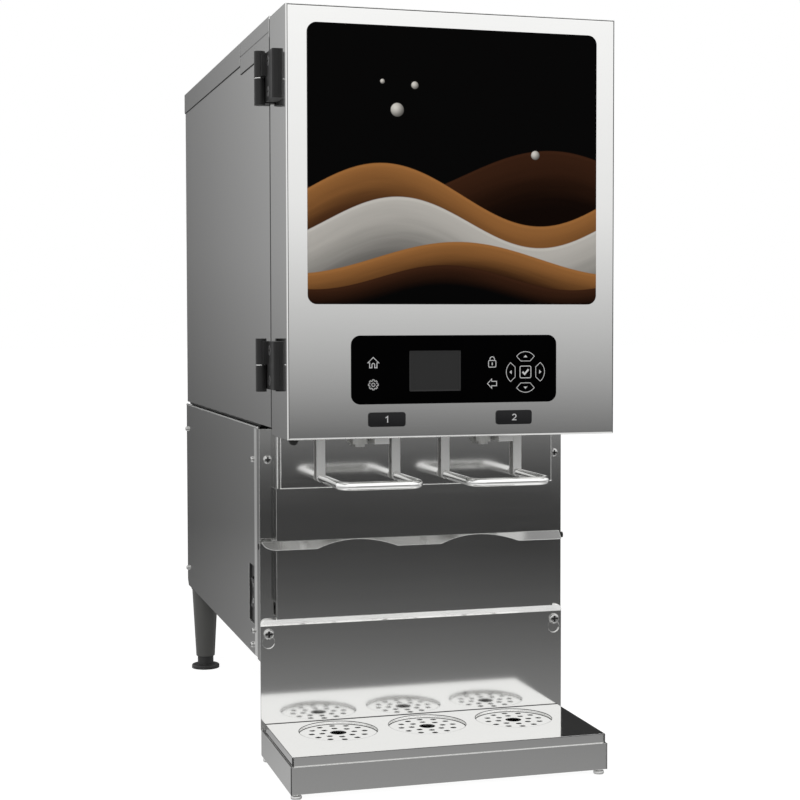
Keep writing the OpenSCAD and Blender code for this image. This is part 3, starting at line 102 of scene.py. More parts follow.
class Wire:
    """A shader socket. Arithmetic on it adds Math nodes to its tree."""

    def __init__(self, tree, socket):
        self.tree = tree
        self.socket = socket

    def out(self, name):
        """Another output of the same node."""
        return Wire(self.tree, self.socket.node.outputs[name])

    def math(self, operation, *values):
        node = self.tree.nodes.new("ShaderNodeMath")
        node.operation = operation
        for place, value in zip(node.inputs, values):
            feed(self.tree, place, value)
        return Wire(self.tree, node.outputs[0])

    def __add__(self, other):
        return self.math("ADD", self, other)

    def __sub__(self, other):
        return self.math("SUBTRACT", self, other)

    def __rsub__(self, other):
        return self.math("SUBTRACT", other, self)

    def __mul__(self, other):
        return self.math("MULTIPLY", self, other)

    def __neg__(self):
        return self.math("MULTIPLY", self, -1.0)

    __radd__ = __add__
    __rmul__ = __mul__

    def sine(self):
        return self.math("SINE", self)

    def arcsine(self):
        return self.math("ARCSINE", self)

    def most(self, other):
        return self.math("MAXIMUM", self, other)

    def least(self, other):
        return self.math("MINIMUM", self, other)

    def step(self, low, high):
        """0 below low, 1 above high and a soft rise between them."""
        node = self.tree.nodes.new("ShaderNodeMapRange")
        node.interpolation_type = "SMOOTHSTEP"
        feed(self.tree, node.inputs["Value"], self)
        feed(self.tree, node.inputs["From Min"], low)
        feed(self.tree, node.inputs["From Max"], high)
        return Wire(self.tree, node.outputs["Result"])

    def within(self, low, high, soft):
        """1 between low and high, with soft ends."""
        return self.step(low - soft, low + soft) * (1.0 - self.step(high - soft, high + soft))


def feed(tree, socket, value):
    """Links a wire to a socket, or sets the socket's own value."""
    if isinstance(value, Wire):
        tree.links.new(value.socket, socket)
    else:
        socket.default_value = value


def socket_of(sockets, key):
    """A node's socket by its identifier, its name or its place."""
    if isinstance(key, int):
        return sockets[key]
    for socket in sockets:
        if socket.identifier == key:
            return socket
    return sockets[key]


class Nodes:
    """A node tree that is filled by expressions."""

    def __init__(self, tree):
        self.tree = tree

    def node(self, kind, settings=None, sockets=None, output=0):
        """Adds a node: its settings first, then the values or links of its sockets."""
        made = self.tree.nodes.new(kind)
        for key, value in (settings or {}).items():
            if key == "stops":
                set_stops(made.color_ramp, value)
            else:
                setattr(made, key, value)
        for key, value in (sockets or {}).items():
            feed(self.tree, socket_of(made.inputs, key), value)
        return Wire(self.tree, socket_of(made.outputs, output))

    def mix(self, share, first, second):
        """Colour that goes from first to second as share goes from 0 to 1."""
        return self.node(
            "ShaderNodeMix",
            {"data_type": "RGBA"},
            {"Factor_Float": share, "A_Color": opaque(first), "B_Color": opaque(second)},
            "Result_Color",
        )

    def ramp(self, place, stops):
        return self.node("ShaderNodeValToRGB", {"stops": stops}, {"Fac": place}, "Color")

    def scaled(self, colour, share):
        """A colour or vector times a number."""
        sockets = {0: colour, "Scale": share}
        return self.node("ShaderNodeVectorMath", {"operation": "SCALE"}, sockets, "Vector")

    def split(self, vector):
        """The X of a vector; its Y and Z are other outputs of the same wire."""
        return self.node("ShaderNodeSeparateXYZ", None, {"Vector": vector}, "X")

    def join(self, x, y, z=0.0):
        return self.node("ShaderNodeCombineXYZ", None, {"X": x, "Y": y, "Z": z}, "Vector")


def opaque(colour):
    """A colour with its fourth number, or a wire as it is."""
    if isinstance(colour, Wire):
        return colour
    return (*colour[:3], 1.0)


def set_stops(ramp, stops):
    """Puts (place, grey or colour) stops on a ramp that has two to begin with."""
    for _ in stops[2:]:
        ramp.elements.new(1.0)
    for element, (place, shade) in zip(ramp.elements, sorted(stops)):
        element.position = place
        element.color = opaque((shade,) * 3 if isinstance(shade, (int, float)) else shade)


def toned(colour, share):
    """A colour made darker or paler."""
    return [min(1.0, share * channel) for channel in colour]


class Finish(Nodes):
    """A procedural material with one shader."""

    def __init__(self, name):
        self.material = bpy.data.materials.new(name)
        self.material.use_nodes = True
        super().__init__(self.material.node_tree)
        self.shader = self.tree.nodes["Principled BSDF"]

    def place(self):
        """Place on the piece in metres."""
        return self.node("ShaderNodeTexCoord", output="Object")

    def grain(self, place, stretch, detail):
        """Noise from 0 to 1 whose cells repeat stretch times in a metre along each axis."""
        stretched = self.node(
            "ShaderNodeVectorMath", {"operation": "MULTIPLY"}, {0: place, 1: stretch}, "Vector"
        )
        return self.node(
            "ShaderNodeTexNoise", None, {"Vector": stretched, "Scale": 1.0, "Detail": detail}, "Fac"
        )

    def rounded_edge(self, radius):
        """Normal that rolls over a sharp edge, as on folded sheet."""
        return self.node("ShaderNodeBevel", {"samples": 6}, {"Radius": radius}, "Normal")

    def bump(self, height, depth, normal=None):
        """Normal of a surface that rises with height, on top of another normal if one is given."""
        sockets = {"Height": height, "Strength": 1.0, "Distance": depth}
        if normal is not None:
            sockets["Normal"] = normal
        return self.node("ShaderNodeBump", None, sockets, "Normal")

    def surface(self, **sockets):
        """Sets the shader's sockets, named with underscores, and gives the material."""
        for name, value in sockets.items():
            feed(self.tree, self.shader.inputs[name.replace("_", " ").title().replace("Ior", "IOR")], value)
        return self.material


def length_setting(name, description, size):
    """A length that a user may change, given in millimetres."""
    return FloatProperty(name=name, description=description, default=size * MM, min=0.0, unit="LENGTH")


def share_setting(name, description, default):
    """A number from 0 to 1 that a user may change."""
    return FloatProperty(
        name=name, description=description, default=default, min=0.0, max=1.0, subtype="FACTOR"
    )


def angle_setting(name, description, degrees):
    """An angle that a user may change."""
    return FloatProperty(name=name, description=description, default=math.radians(degrees), subtype="ANGLE")


def colour_setting(name, description, default):
    """A colour that a user may change."""
    return FloatVectorProperty(
        name=name, description=description, default=default, min=0.0, max=1.0, subtype="COLOR"
    )


class SteelSettings(bpy.types.PropertyGroup):
    """Looks of the stainless sheets and rods."""

    tint: colour_setting("Steel colour", "Colour that bare steel reflects", (0.78, 0.78, 0.77))
    sheet_roughness: share_setting("Sheet roughness", "Blur of reflections in the outer sheets", 0.11)
    polished_roughness: share_setting("Polished roughness", "Blur of reflections in polished pieces", 0.07)
    satin_roughness: share_setting(
        "Satin roughness",
        "Blur of reflections in lever straps, lever bracket, splash strip and tray feet",
        0.4,
    )
    edge_radius: length_setting("Edge radius", "Rounding seen along folded and cut edges", 0.8)
    brush_width: length_setting("Brush width", "Width of one brush line", 0.5)
    brush_length: length_setting("Brush length", "Length of one brush line", 90)


class PlasticSettings(bpy.types.PropertyGroup):
    """Looks of the moulded and painted pieces."""

    black: colour_setting("Black", "Colour of black mouldings", (0.022, 0.022, 0.022))
    white: colour_setting("White", "Colour of white mouldings", (0.8, 0.8, 0.78))
    leg: colour_setting("Leg paint", "Colour of the painted legs", (0.11, 0.11, 0.105))
    grain: length_setting("Grain", "Size of the moulded grain", 0.8)


class PrintSettings(bpy.types.PropertyGroup):
    """Looks of the marks on the keypad, the labels and the switch."""

    ink: colour_setting("Ink", "Colour of the printed marks", (0.82, 0.82, 0.82))
    line: length_setting("Line width", "Width of a printed line", 0.85)
    thickness: length_setting("Ink thickness", "How far the ink stands proud", 0.05)
    label_width: length_setting("Label width", "Width of a product label", 41)
    label_corner: length_setting("Label corner", "Rounding of a product label's corners", 3)
    label_rim: length_setting("Label rim", "Bevel round a product label", 0.6)


class GraphicSettings(bpy.types.PropertyGroup):
    """Colours of the printed door panel."""

    ground: colour_setting("Ground", "Dark ground of the print", (0.0012, 0.0011, 0.0011))
    cream: colour_setting("Cream", "Palest ribbon of the print", (0.66, 0.63, 0.58))
    caramel: colour_setting("Caramel", "Middle ribbon of the print", (0.40, 0.17, 0.05))
    brown: colour_setting("Brown", "Dark ribbon of the print", (0.05, 0.018, 0.008))


class HardwareSettings(bpy.types.PropertyGroup):
    """Sizes of the small hardware."""

    bumper_diameter: length_setting("Bumper diameter", "Diameter of the stop under the door", 11)
    bumper_height: length_setting("Bumper height", "Height of the stop under the door", 6.5)
    # The cabinet's dark beads are painted shade: black rubber laid in the gaps between its sheets
    gap_shade_width: length_setting("Bead width", "Width of the seals on the cabinet's top sheets", 2)
    base_gap_shade_width: length_setting("Base bead width", "Width of the seal between cabinet and base", 4.4)
    base_gap_shade_inset: length_setting("Base bead inset", "Distance of that seal from the cabinet's faces", 5)
    hem_width: length_setting("Hem width", "Width of the rolled hems on the base", 3.2)
    trim_hem_length: length_setting("Trim hem length", "Length of the hems at the ends of the top trim", 21)
    # The drip tray's dark lines are a joint under the lid and painted shade on its folds and disc walls
    joint_and_shade_width: length_setting("Seam width", "Width of the dark joints on the drip tray", 0.9)
    # The door's fold lines are painted shade along its bends
    fold_shade_width: length_setting("Fold width", "Width of the fold lines on the door", 0.7)
    fold_shade_inset: length_setting("Fold inset", "Distance of the fold lines from the door's edges", 1.4)
    ledge_notch: length_setting("Ledge notch", "How far the cup ledge stops short of its right end", 9)
    ledge_corner: length_setting("Ledge corner", "Length of the cup ledge's round left corner", 17)
    ledge_sheet: length_setting("Ledge sheet", "Thickness of the cup ledge, measured level", 2)
    scallop_width: length_setting("Scallop width", "Width of a cup scallop in the ledge", 95)
    scallop_depth: length_setting("Scallop depth", "Depth of a cup scallop in the ledge", 8.5)
    leaf_screw: length_setting("Leaf screw", "Head diameter of the hinge leaves' screws", 11.8)
    key_screw: length_setting("Key screw", "Head diameter of the screws that carry the splash panel", 12.5)
    key_shank: length_setting("Key shank", "Bare shank diameter of those screws", 5)
    post_screw: length_setting("Post screw", "Head diameter of the screws at the top of the posts", 10.2)
    side_screw: length_setting("Side screw", "Head diameter of the side panels' screws", 7)
    head_height: length_setting("Head height", "Height of a screw head above its seat", 2.9)
    recess_depth: length_setting("Recess depth", "Depth of the cross recess in a screw head", 1.6)
    glide_diameter: length_setting("Glide diameter", "Diameter of a foot under the drip tray", 12)
    disc_diameter: length_setting("Disc diameter", "Diameter of a drip disc in the tray's lid", 90)
    disc_pitch: length_setting("Disc pitch", "Distance between the middles of two drip discs", 105)


class StageSettings(bpy.types.PropertyGroup):
    """Camera, floor and light."""

    eye: FloatVectorProperty(
        name="Eye", description="Place of the camera", subtype="XYZ", unit="LENGTH",
        default=(-0.52393, -2.01093, 0.5073),
    )
    turn: angle_setting("Turn", "How far the camera turns to the right of straight ahead", 15.88)
    tilt: angle_setting("Tilt", "How far the camera looks down", 2.35)
    roll: angle_setting("Roll", "Turn of the camera about its own axis", -0.11)
    lens: FloatProperty(
        name="Lens", description="Focal length on a 36 mm sensor", default=72.4, unit="CAMERA",
    )
    rise: FloatProperty(
        name="Rise", description="Upward shift of the lens as a share of the picture", default=-0.0145,
    )
    floor_white: share_setting("Floor white", "White of the floor that a shadow leaves", 0.86)
    floor_matt: share_setting("Floor matt", "Matt colour of the floor, which takes the shadow", 0.3)
    fill: FloatProperty(
        name="Fill light", description="Even light from all round on matt pieces", default=0.55, min=0.0,
    )
    key_power: FloatProperty(
        name="Key light", description="Power of the large front lamp", default=34.0, min=0.0, unit="POWER",
    )


SETTINGS = {
    "dispenser_steel": SteelSettings,
    "dispenser_plastic": PlasticSettings,
    "dispenser_print": PrintSettings,
    "dispenser_graphic": GraphicSettings,
    "dispenser_hardware": HardwareSettings,
    "dispenser_stage": StageSettings,
}


def brushed_steel(steel, name, along, roughness, shade=1.0, edge=1.0, satin_and_sheen_above=None):
    """Steel sheet brushed along the axis numbered 0, 1 or 2, satin above a height if one is given. Shade
    tones the sheet darker or paler than bare steel, painted shade where it is below 1 and painted sheen where
    it is above 1; the satin part is painted paler, a painted highlight.
    """
    finish = Finish(name)
    place = finish.place()
    across = [1.0 / steel.brush_width] * 3
    across[along] = 1.0 / steel.brush_length
    lines = finish.grain(place, across, 2.0)
    wide = [0.04 * number for number in across]
    wide[along] = 0.3 * across[along]
    streaks = finish.grain(place, wide, 4.0)
    clouds = finish.grain(place, (7.0, 7.0, 7.0), 2.0)
    wear = lines * 0.5 + streaks * 0.3 + clouds * 0.2
    tint = toned(steel.tint, shade)
    colour = finish.mix(wear, toned(tint, 0.95), tint)
    if satin_and_sheen_above is not None:
        upper = finish.split(place).out("Z").step(satin_and_sheen_above, satin_and_sheen_above + 1.0 * MM)
        # Paler steel on the satin strip: a painted highlight
        colour = finish.mix(upper, colour, (0.98, 0.98, 0.97))
        roughness = upper * (steel.satin_roughness - roughness) + roughness
    rolled = finish.rounded_edge(edge * steel.edge_radius)
    return finish.surface(
        base_color=colour,
        metallic=1.0,
        roughness=(wear * 0.5 + 0.75) * roughness,
        normal=finish.bump(lines, 0.002 * MM, rolled),
    )


def lever_steel(steel, split):
    """Bright drawn rod in front of the split and satin strap behind it, both painted paler than bare steel as
    a painted sheen.
    """
    finish = Finish("lever_steel")
    place = finish.place()
    strap = finish.split(place).out("Y").step(split - 1.0 * MM, split + 1.0 * MM)
    drawn = finish.grain(place, (900.0, 25.0, 900.0), 2.0)
    rubbed = finish.grain(place, (2200.0, 2200.0, 120.0), 3.0)
    # Paler than bare steel: painted sheen on the rod and the strap
    rod_tint = toned(steel.tint, 1.15)
    strap_tint = finish.mix(rubbed, toned(steel.tint, 1.15), toned(steel.tint, 1.28))
    return finish.surface(
        base_color=finish.mix(strap, finish.mix(drawn, toned(rod_tint, 0.95), rod_tint), strap_tint),
        metallic=1.0 - strap * 0.8,
        roughness=0.5 * steel.polished_roughness + drawn * 0.03 + strap * steel.satin_roughness,
        normal=finish.bump(drawn, 0.002 * MM, finish.rounded_edge(0.5 * MM)),
    )


def finned(steel, name, axis, pitch, shade):
    """Thin fins that follow each other along one axis, with dark stripes of painted shade in the gaps between
    them.
    """
    finish = Finish(name)
    place = finish.place()
    wave = (finish.split(place).out(axis) * (math.tau / pitch)).sine() * 0.5 + 0.5
    dust = finish.grain(place, (60.0, 60.0, 60.0), 4.0)
    tint = toned(steel.tint, shade)
    return finish.surface(
        # Darker between the fins: painted shade in the gaps
        base_color=finish.mix(wave * (0.7 + dust * 0.3), toned(tint, 0.35), tint),
        metallic=0.9,
        roughness=0.28 + dust * 0.2,
        normal=finish.bump(wave, 0.3 * MM),
    )


def moulded(plastic, name, colour, roughness, specular=0.4):
    """Moulded plastic with a fine leather-like grain."""
    finish = Finish(name)
    place = finish.place()
    fine = finish.grain(place, (1.0 / plastic.grain,) * 3, 2.0)
    patches = finish.grain(place, (22.0, 22.0, 22.0), 3.0)
    pale = [min(1.0, 1.12 * channel + 0.002) for channel in colour]
    return finish.surface(
        base_color=finish.mix(patches, toned(colour, 0.88), pale),
        roughness=roughness - 0.05 + patches * 0.1,
        specular_ior_level=specular,
        normal=finish.bump(fine, 0.03 * MM, finish.rounded_edge(0.5 * MM)),
    )


def painted(name, colour, roughness):
    """Sprayed paint with a faint orange-peel surface."""
    finish = Finish(name)
    place = finish.place()
    peel = finish.grain(place, (420.0, 420.0, 420.0), 1.0)
    patches = finish.grain(place, (15.0, 15.0, 15.0), 3.0)
    return finish.surface(
        base_color=finish.mix(patches, toned(colour, 0.85), colour),
        roughness=roughness - 0.04 + patches * 0.08,
        normal=finish.bump(peel, 0.06 * MM, finish.rounded_edge(0.6 * MM)),
    )


def rubber(name):
    """Soft black rubber with a dusty bloom."""
    finish = Finish(name)
    place = finish.place()
    bloom = finish.grain(place, (60.0, 60.0, 60.0), 4.0)
    pores = finish.grain(place, (1500.0, 1500.0, 1500.0), 1.0)
    return finish.surface(
        base_color=finish.mix(bloom, (0.012, 0.012, 0.012), (0.03, 0.03, 0.029)),
        roughness=0.55 + bloom * 0.2,
        specular_ior_level=0.25,
        normal=finish.bump(pores, 0.03 * MM),
    )


def foam(name, colour):
    """Poured foam with open cells where it was cut."""
    finish = Finish(name)
    place = finish.place()
    cells = finish.node("ShaderNodeTexVoronoi", None, {"Vector": place, "Scale": 700.0}, "Distance")
    patches = finish.grain(place, (18.0, 18.0, 18.0), 4.0)
    shade = finish.mix(patches, toned(colour, 0.8), colour)
    return finish.surface(
        base_color=finish.mix(cells, shade, toned(colour, 0.6)),
        roughness=0.85 + patches * 0.1,
        specular_ior_level=0.15,
        normal=finish.bump(cells, 0.4 * MM),
    )


def circuit_board(name):
    """Green lacquer over rows of tracks, with bright solder spots."""
    finish = Finish(name)
    place = finish.place()
    tracks = finish.node(
        "ShaderNodeTexBrick",
        None,
        {"Vector": place, "Scale": 160.0, "Mortar Size": 0.05, "Color1": (0, 0, 0, 1), "Color2": (0, 0, 0, 1),
         "Mortar": (1, 1, 1, 1)},
        "Fac",
    )
    spots = finish.node("ShaderNodeTexVoronoi", None, {"Vector": place, "Scale": 230.0}, "Distance")
    solder = 1.0 - spots.step(0.16, 0.22)
    lacquer = finish.mix(tracks, (0.01, 0.085, 0.03), (0.03, 0.16, 0.06))
    return finish.surface(
        base_color=finish.mix(solder, lacquer, (0.6, 0.6, 0.58)),
        metallic=solder * 0.9,
        roughness=0.35 + tracks * 0.1,
        normal=finish.bump(solder + tracks * 0.3, 0.15 * MM),
    )


def glossy_overlay(name, colour, roughness, specular):
    """Smooth overlay with faint smears where fingers touch it."""
    finish = Finish(name)
    place = finish.place()
    smears = finish.grain(place, (45.0, 20.0, 30.0), 4.0)
    wavy = finish.grain(place, (90.0, 90.0, 90.0), 1.0)
    pale = [1.3 * channel + 0.0004 for channel in colour]
    return finish.surface(
        base_color=finish.mix(smears, colour, pale),
        roughness=roughness - 0.03 + smears * 0.1,
        specular_ior_level=specular,
        normal=finish.bump(wavy, 0.01 * MM),
    )


def display_glass(name, node):
    """Grey display whose border is a little paler."""
    low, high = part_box(node)
    border, soft, row_pitch = 3.2 * MM, 0.3 * MM, 0.5 * MM
    finish = Finish(name)
    place = finish.place()
    x = finish.split(place)
    z = x.out("Z")
    inner = x.within(low.x + border, high.x - border, soft) * z.within(low.z + border, high.z - border, soft)
    rows = (z * (math.tau / row_pitch)).sine() * 0.5 + 0.5
    cloud = finish.grain(place, (25.0, 25.0, 25.0), 2.0)
    grey = finish.mix(rows * 0.5 + cloud * 0.5, (0.039, 0.039, 0.039), (0.043, 0.043, 0.043))
    return finish.surface(
        base_color=finish.mix(inner, (0.055, 0.055, 0.055), grey),
        roughness=0.28 + cloud * 0.06,
        specular_ior_level=0.05,
    )


def ink(prints, name):
    """Printed ink, a little thinner in places."""
    finish = Finish(name)
    thin = finish.grain(finish.place(), (700.0, 700.0, 700.0), 3.0)
    return finish.surface(
        base_color=finish.mix(thin, toned(prints.ink, 0.86), prints.ink),
        roughness=0.5 + thin * 0.1,
        specular_ior_level=0.2,
    )


def clothe(material, *names):
    """Gives CAD nodes a material in every slot."""
    for name in names:
        mesh = NODES[name].data
        mesh.materials.clear()
        mesh.materials.append(material)


def keep(mesh_data, name, body, slot, *materials):
    """Makes a piece of a bmesh and lets it ride on a body."""
    mesh = bpy.data.meshes.new(name)
    bmesh.ops.recalc_face_normals(mesh_data, faces=mesh_data.faces)
    mesh_data.to_mesh(mesh)
    mesh_data.free()
    mesh.shade_smooth()
    mesh.set_sharp_from_angle(angle=math.radians(35))
    for material in materials:
        mesh.materials.append(material)
    piece = bpy.data.objects.new(name, mesh)
    bpy.context.scene.collection.objects.link(piece)
    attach(piece, body)
    return piece


# Right, up and out of a face, by the way that it looks
FACES = {
    "front": ((1, 0, 0), (0, 0, 1), (0, -1, 0)),
    "left": ((0, -1, 0), (0, 0, 1), (-1, 0, 0)),
    "right": ((0, 1, 0), (0, 0, 1), (1, 0, 0)),
    "up": ((1, 0, 0), (0, 1, 0), (0, 0, 1)),
    "down": ((1, 0, 0), (0, -1, 0), (0, 0, -1)),
}


def facing(way, centre):
    """Placing, about a point in millimetres, of a piece drawn with X right, Y up and Z out of a face."""
    return Matrix.Translation(Vector(centre) * MM) @ Matrix(FACES[way]).transposed().to_4x4()


def corners(node):
    """Lowest and highest corner of a node in millimetres."""
    return [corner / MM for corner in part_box(node)]


def arc(centre, radius, start, end, steps):
    """Points on an arc, with angles in degrees."""
    angles = [math.radians(start + (end - start) * i / steps) for i in range(steps + 1)]
    return [Vector((centre[0] + radius * math.cos(a), centre[1] + radius * math.sin(a))) for a in angles]


def rounded_box(width, height, radius):
    """Closed outline of a rectangle with round corners about the origin."""
    x, y = width / 2 - radius, height / 2 - radius
    middles = (((x, y), 0), ((-x, y), 90), ((-x, -y), 180), ((x, -y), 270))
    return [point for middle, turn in middles for point in arc(middle, radius, turn, turn + 90, 5)]


def circle(radius, steps=32):
    """Closed outline of a circle about the origin."""
    return arc((0, 0), radius, 0, 360 - 360 / steps, steps - 1)


def cross(reach, width):
    """Outline of a cross with four arms, anticlockwise."""
    half = width / 2
    arm = ((reach, -half), (reach, half), (half, half))
    turns = [Matrix.Rotation(math.radians(turn), 2) for turn in (0, 90, 180, 270)]
    return [turn @ Vector(point) for turn in turns for point in arm]


def level(mesh, place, outline, height):
    """Points of an outline at a height above its face, all in millimetres."""
    return [mesh.verts.new(place @ (Vector((point[0], point[1], height)) * MM)) for point in outline]


def wall(mesh, low, high):
    """Quads between two rows of as many points."""
    return [mesh.faces.new((low[i - 1], low[i], high[i], high[i - 1])) for i, _ in enumerate(low)]


def loft(mesh, place, outlines, open_top=False):
    """Solid through (outline, height) levels. Gives the last row of points."""
    rows = [level(mesh, place, outline, height) for outline, height in outlines]
    for low, high in zip(rows, rows[1:]):
        wall(mesh, low, high)
    mesh.faces.new(list(reversed(rows[0])))
    if not open_top:
        mesh.faces.new(rows[-1])
    return rows[-1]


def turned(mesh, place, profile, radius, height):
    """Turned solid through a profile of (share of the radius, share of the height)."""
    loft(mesh, place, [(circle(share * radius), rise * height) for share, rise in profile])


def rod(mesh, start, end, radius):
    """Adds a straight round bead between two points in millimetres."""
    way = Vector(end) - Vector(start)
    place = Matrix.Translation(Vector(start) * MM) @ way.to_track_quat("Z", "Y").to_matrix().to_4x4()
    outline = circle(radius, 12)
    loft(mesh, place, ((outline, 0.0), (outline, way.length)))


def cut_recess(mesh, place, rim, reach, height, depth):
    """Closes a round top with a face that has a cross recess of the second material in it, which paints the
    recess's shade.
    """
    mouth = level(mesh, place, cross(reach, 0.56 * reach), height)
    floor = level(mesh, place, cross(0.62 * reach, 0.36 * reach), height - depth)
    for face in (*wall(mesh, mouth, floor), mesh.faces.new(floor)):
        face.material_index = 1
    rims = [mesh.edges.get((row[i - 1], row[i])) for row in (rim, mouth) for i, _ in enumerate(row)]
    bmesh.ops.triangle_fill(mesh, use_beauty=True, use_dissolve=False, edges=rims)


def pan_screw(mesh, place, diameter, sizes, shank=None):
    """Adds a domed screw head that sits on a face, with the bare shank that a (diameter, length) gives."""
    radius = diameter / 2
    height = sizes.head_height
    dome = ((0.95, 0.0), (1.0, 0.1), (1.0, 0.3), (0.96, 0.52), (0.88, 0.74), (0.76, 0.91), (0.64, 1.0))
    levels = [(circle(share * radius), rise * height) for share, rise in dome]
    if shank:
        bare = circle(shank[0] / 2)
        levels = [(bare, -shank[1]), (bare, 0.0), *levels]
    rim = loft(mesh, place, levels, open_top=True)
    cut_recess(mesh, place, rim, 0.6 * radius, height, sizes.recess_depth)


def sunk_screw(mesh, place, diameter, sizes):
    """Adds a countersunk screw that lies just below a face."""
    radius = diameter / 2
    top = -0.12
    cone = ((0.48, -0.9 * radius), (0.48, -0.5 * radius), (0.95, -0.35), (0.95, -0.2), (0.88, top))
    rim = loft(mesh, place, [(circle(share * radius), height) for share, height in cone], open_top=True)
    cut_recess(mesh, place, rim, 0.56 * radius, top, sizes.recess_depth)


class Print:
    """Flat marks on a face, drawn in millimetres about one point."""

    def __init__(self, place, thickness):
        self.mesh = bmesh.new()
        self.place = place
        self.thickness = thickness / MM

    def solid(self, outline):
        """A filled shape."""
        loft(self.mesh, self.place, ((outline, 0.0), (outline, self.thickness)))

    def line(self, points, width, closed=True):
        """A line of even width with mitred corners."""
        points = [Vector(point) for point in points]
        count = len(points)
        sides = ([], [])
        for i, point in enumerate(points):
            before = points[i - 1] if closed or i else point
            after = points[(i + 1) % count] if closed or i < count - 1 else point
            ways = [way.normalized() for way in (point - before, after - point) if way.length > 1e-6]
            normals = [Vector((-way.y, way.x)) for way in ways]
            normal = sum(normals, Vector((0.0, 0.0))).normalized()
            offset = normal * (width / 2 / max(0.5, normal.dot(normals[0])))
            sides[0].append(point + offset)
            sides[1].append(point - offset)
        if not closed:
            self.solid([*sides[0], *reversed(sides[1])])
            return
        heights = (0.0, self.thickness)
        rows = [level(self.mesh, self.place, side, height) for height in heights for side in sides]
        for low, high in ((0, 1), (1, 3), (3, 2), (2, 0)):
            wall(self.mesh, rows[low], rows[high])


def draw_home(mark, line):
    """House with a round-topped door."""
    door = arc((0, -2.2), 1.5, 0, 180, 6)
    mark.line([(0, 5.6), (6.0, -0.2), (4.0, -0.2), (4.0, -5.4), (1.5, -5.4), *door, (-1.5, -5.4),
               (-4.0, -5.4), (-4.0, -0.2), (-6.0, -0.2)], line)


def draw_gear(mark, line):
    """Gear with its bore."""
    teeth = 8
    rim = []
    for i in range(teeth):
        for share, radius in ((-0.34, 4.1), (-0.2, 5.4), (0.2, 5.4), (0.34, 4.1)):
            angle = math.tau * (i + share) / teeth
            rim.append((radius * math.cos(angle), radius * math.sin(angle)))
    mark.line(rim, 0.75 * line)
    mark.line(circle(1.8, 16), 0.75 * line)


def draw_lock(mark, line):
    """Padlock with a keyhole."""
    low = Vector((0, -2.0))
    mark.line([low + point for point in rounded_box(8.4, 7.2, 1.2)], line)
    mark.line([(-2.6, 1.8), *reversed(arc((0, 3.0), 2.6, 0, 180, 8)), (2.6, 1.8)], line, closed=False)
    mark.line([(0, -0.6), (0, -3.6)], 1.3 * line, closed=False)


def draw_back(mark, line):
    """Wide arrow to the left."""
    mark.line([(-5.4, 0), (-0.6, 5.0), (-0.6, 2.4), (5.0, 2.4), (5.0, -2.4), (-0.6, -2.4),
               (-0.6, -5.0)], line)


def draw_enter(mark, line):
    """Box with a tick."""
    tick = 2.0
    mark.line(rounded_box(12.6, 12.8, 1.6), line)
    mark.line([(-3.4, 0.2), (-1.0, -2.3), (3.6, 2.9)], tick, closed=False)


def draw_arrow_key(mark, line, turn):
    """Lens-shaped key whose round side points along turn, with a small arrow."""
    spin = Matrix.Rotation(math.radians(turn - 90), 2)
    half, crown, base, low = 10.2, 5.0, 5.4, -5.2
    radius = (half ** 2 + crown ** 2) / (2 * crown)
    reach = math.degrees(math.asin(half / radius))
    outline = [*arc((0, crown - radius), radius, 90 + reach, 90 - reach, 14), Vector((base, low)),
               Vector((-base, low))]
    mark.line([spin @ point for point in outline], 0.8 * line)
    mark.solid([spin @ Vector(point) for point in ((-2.3, -1.2), (2.3, -1.2), (0, 1.4))])


def draw_one(mark, line):
    """Number of the left product."""
    mark.line([(-1.8, 1.7), (0.4, 3.3), (0.4, -3.3)], line, closed=False)


def draw_two(mark, line):
    """Number of the right product."""
    mark.line([*arc((0, 1.3), 2.0, 165, -35, 10), (-2.1, -2.9), (2.5, -2.9)], line, closed=False)


def in_millimetres(settings):
    """The lengths of a group of settings in millimetres."""
    return SimpleNamespace(**{name: getattr(settings, name) / MM for name in settings.__annotations__})


class DispenserPiece(bpy.types.Operator):
    """Shared settings of the dressing operators"""

    bl_options = {"REGISTER", "UNDO"}

    def look(self, context):
        """Takes the settings from the scene."""
        scene = context.scene
        self.steel = scene.dispenser_steel
        self.plastic = scene.dispenser_plastic
        self.prints = scene.dispenser_print
        self.sizes = in_millimetres(scene.dispenser_hardware)


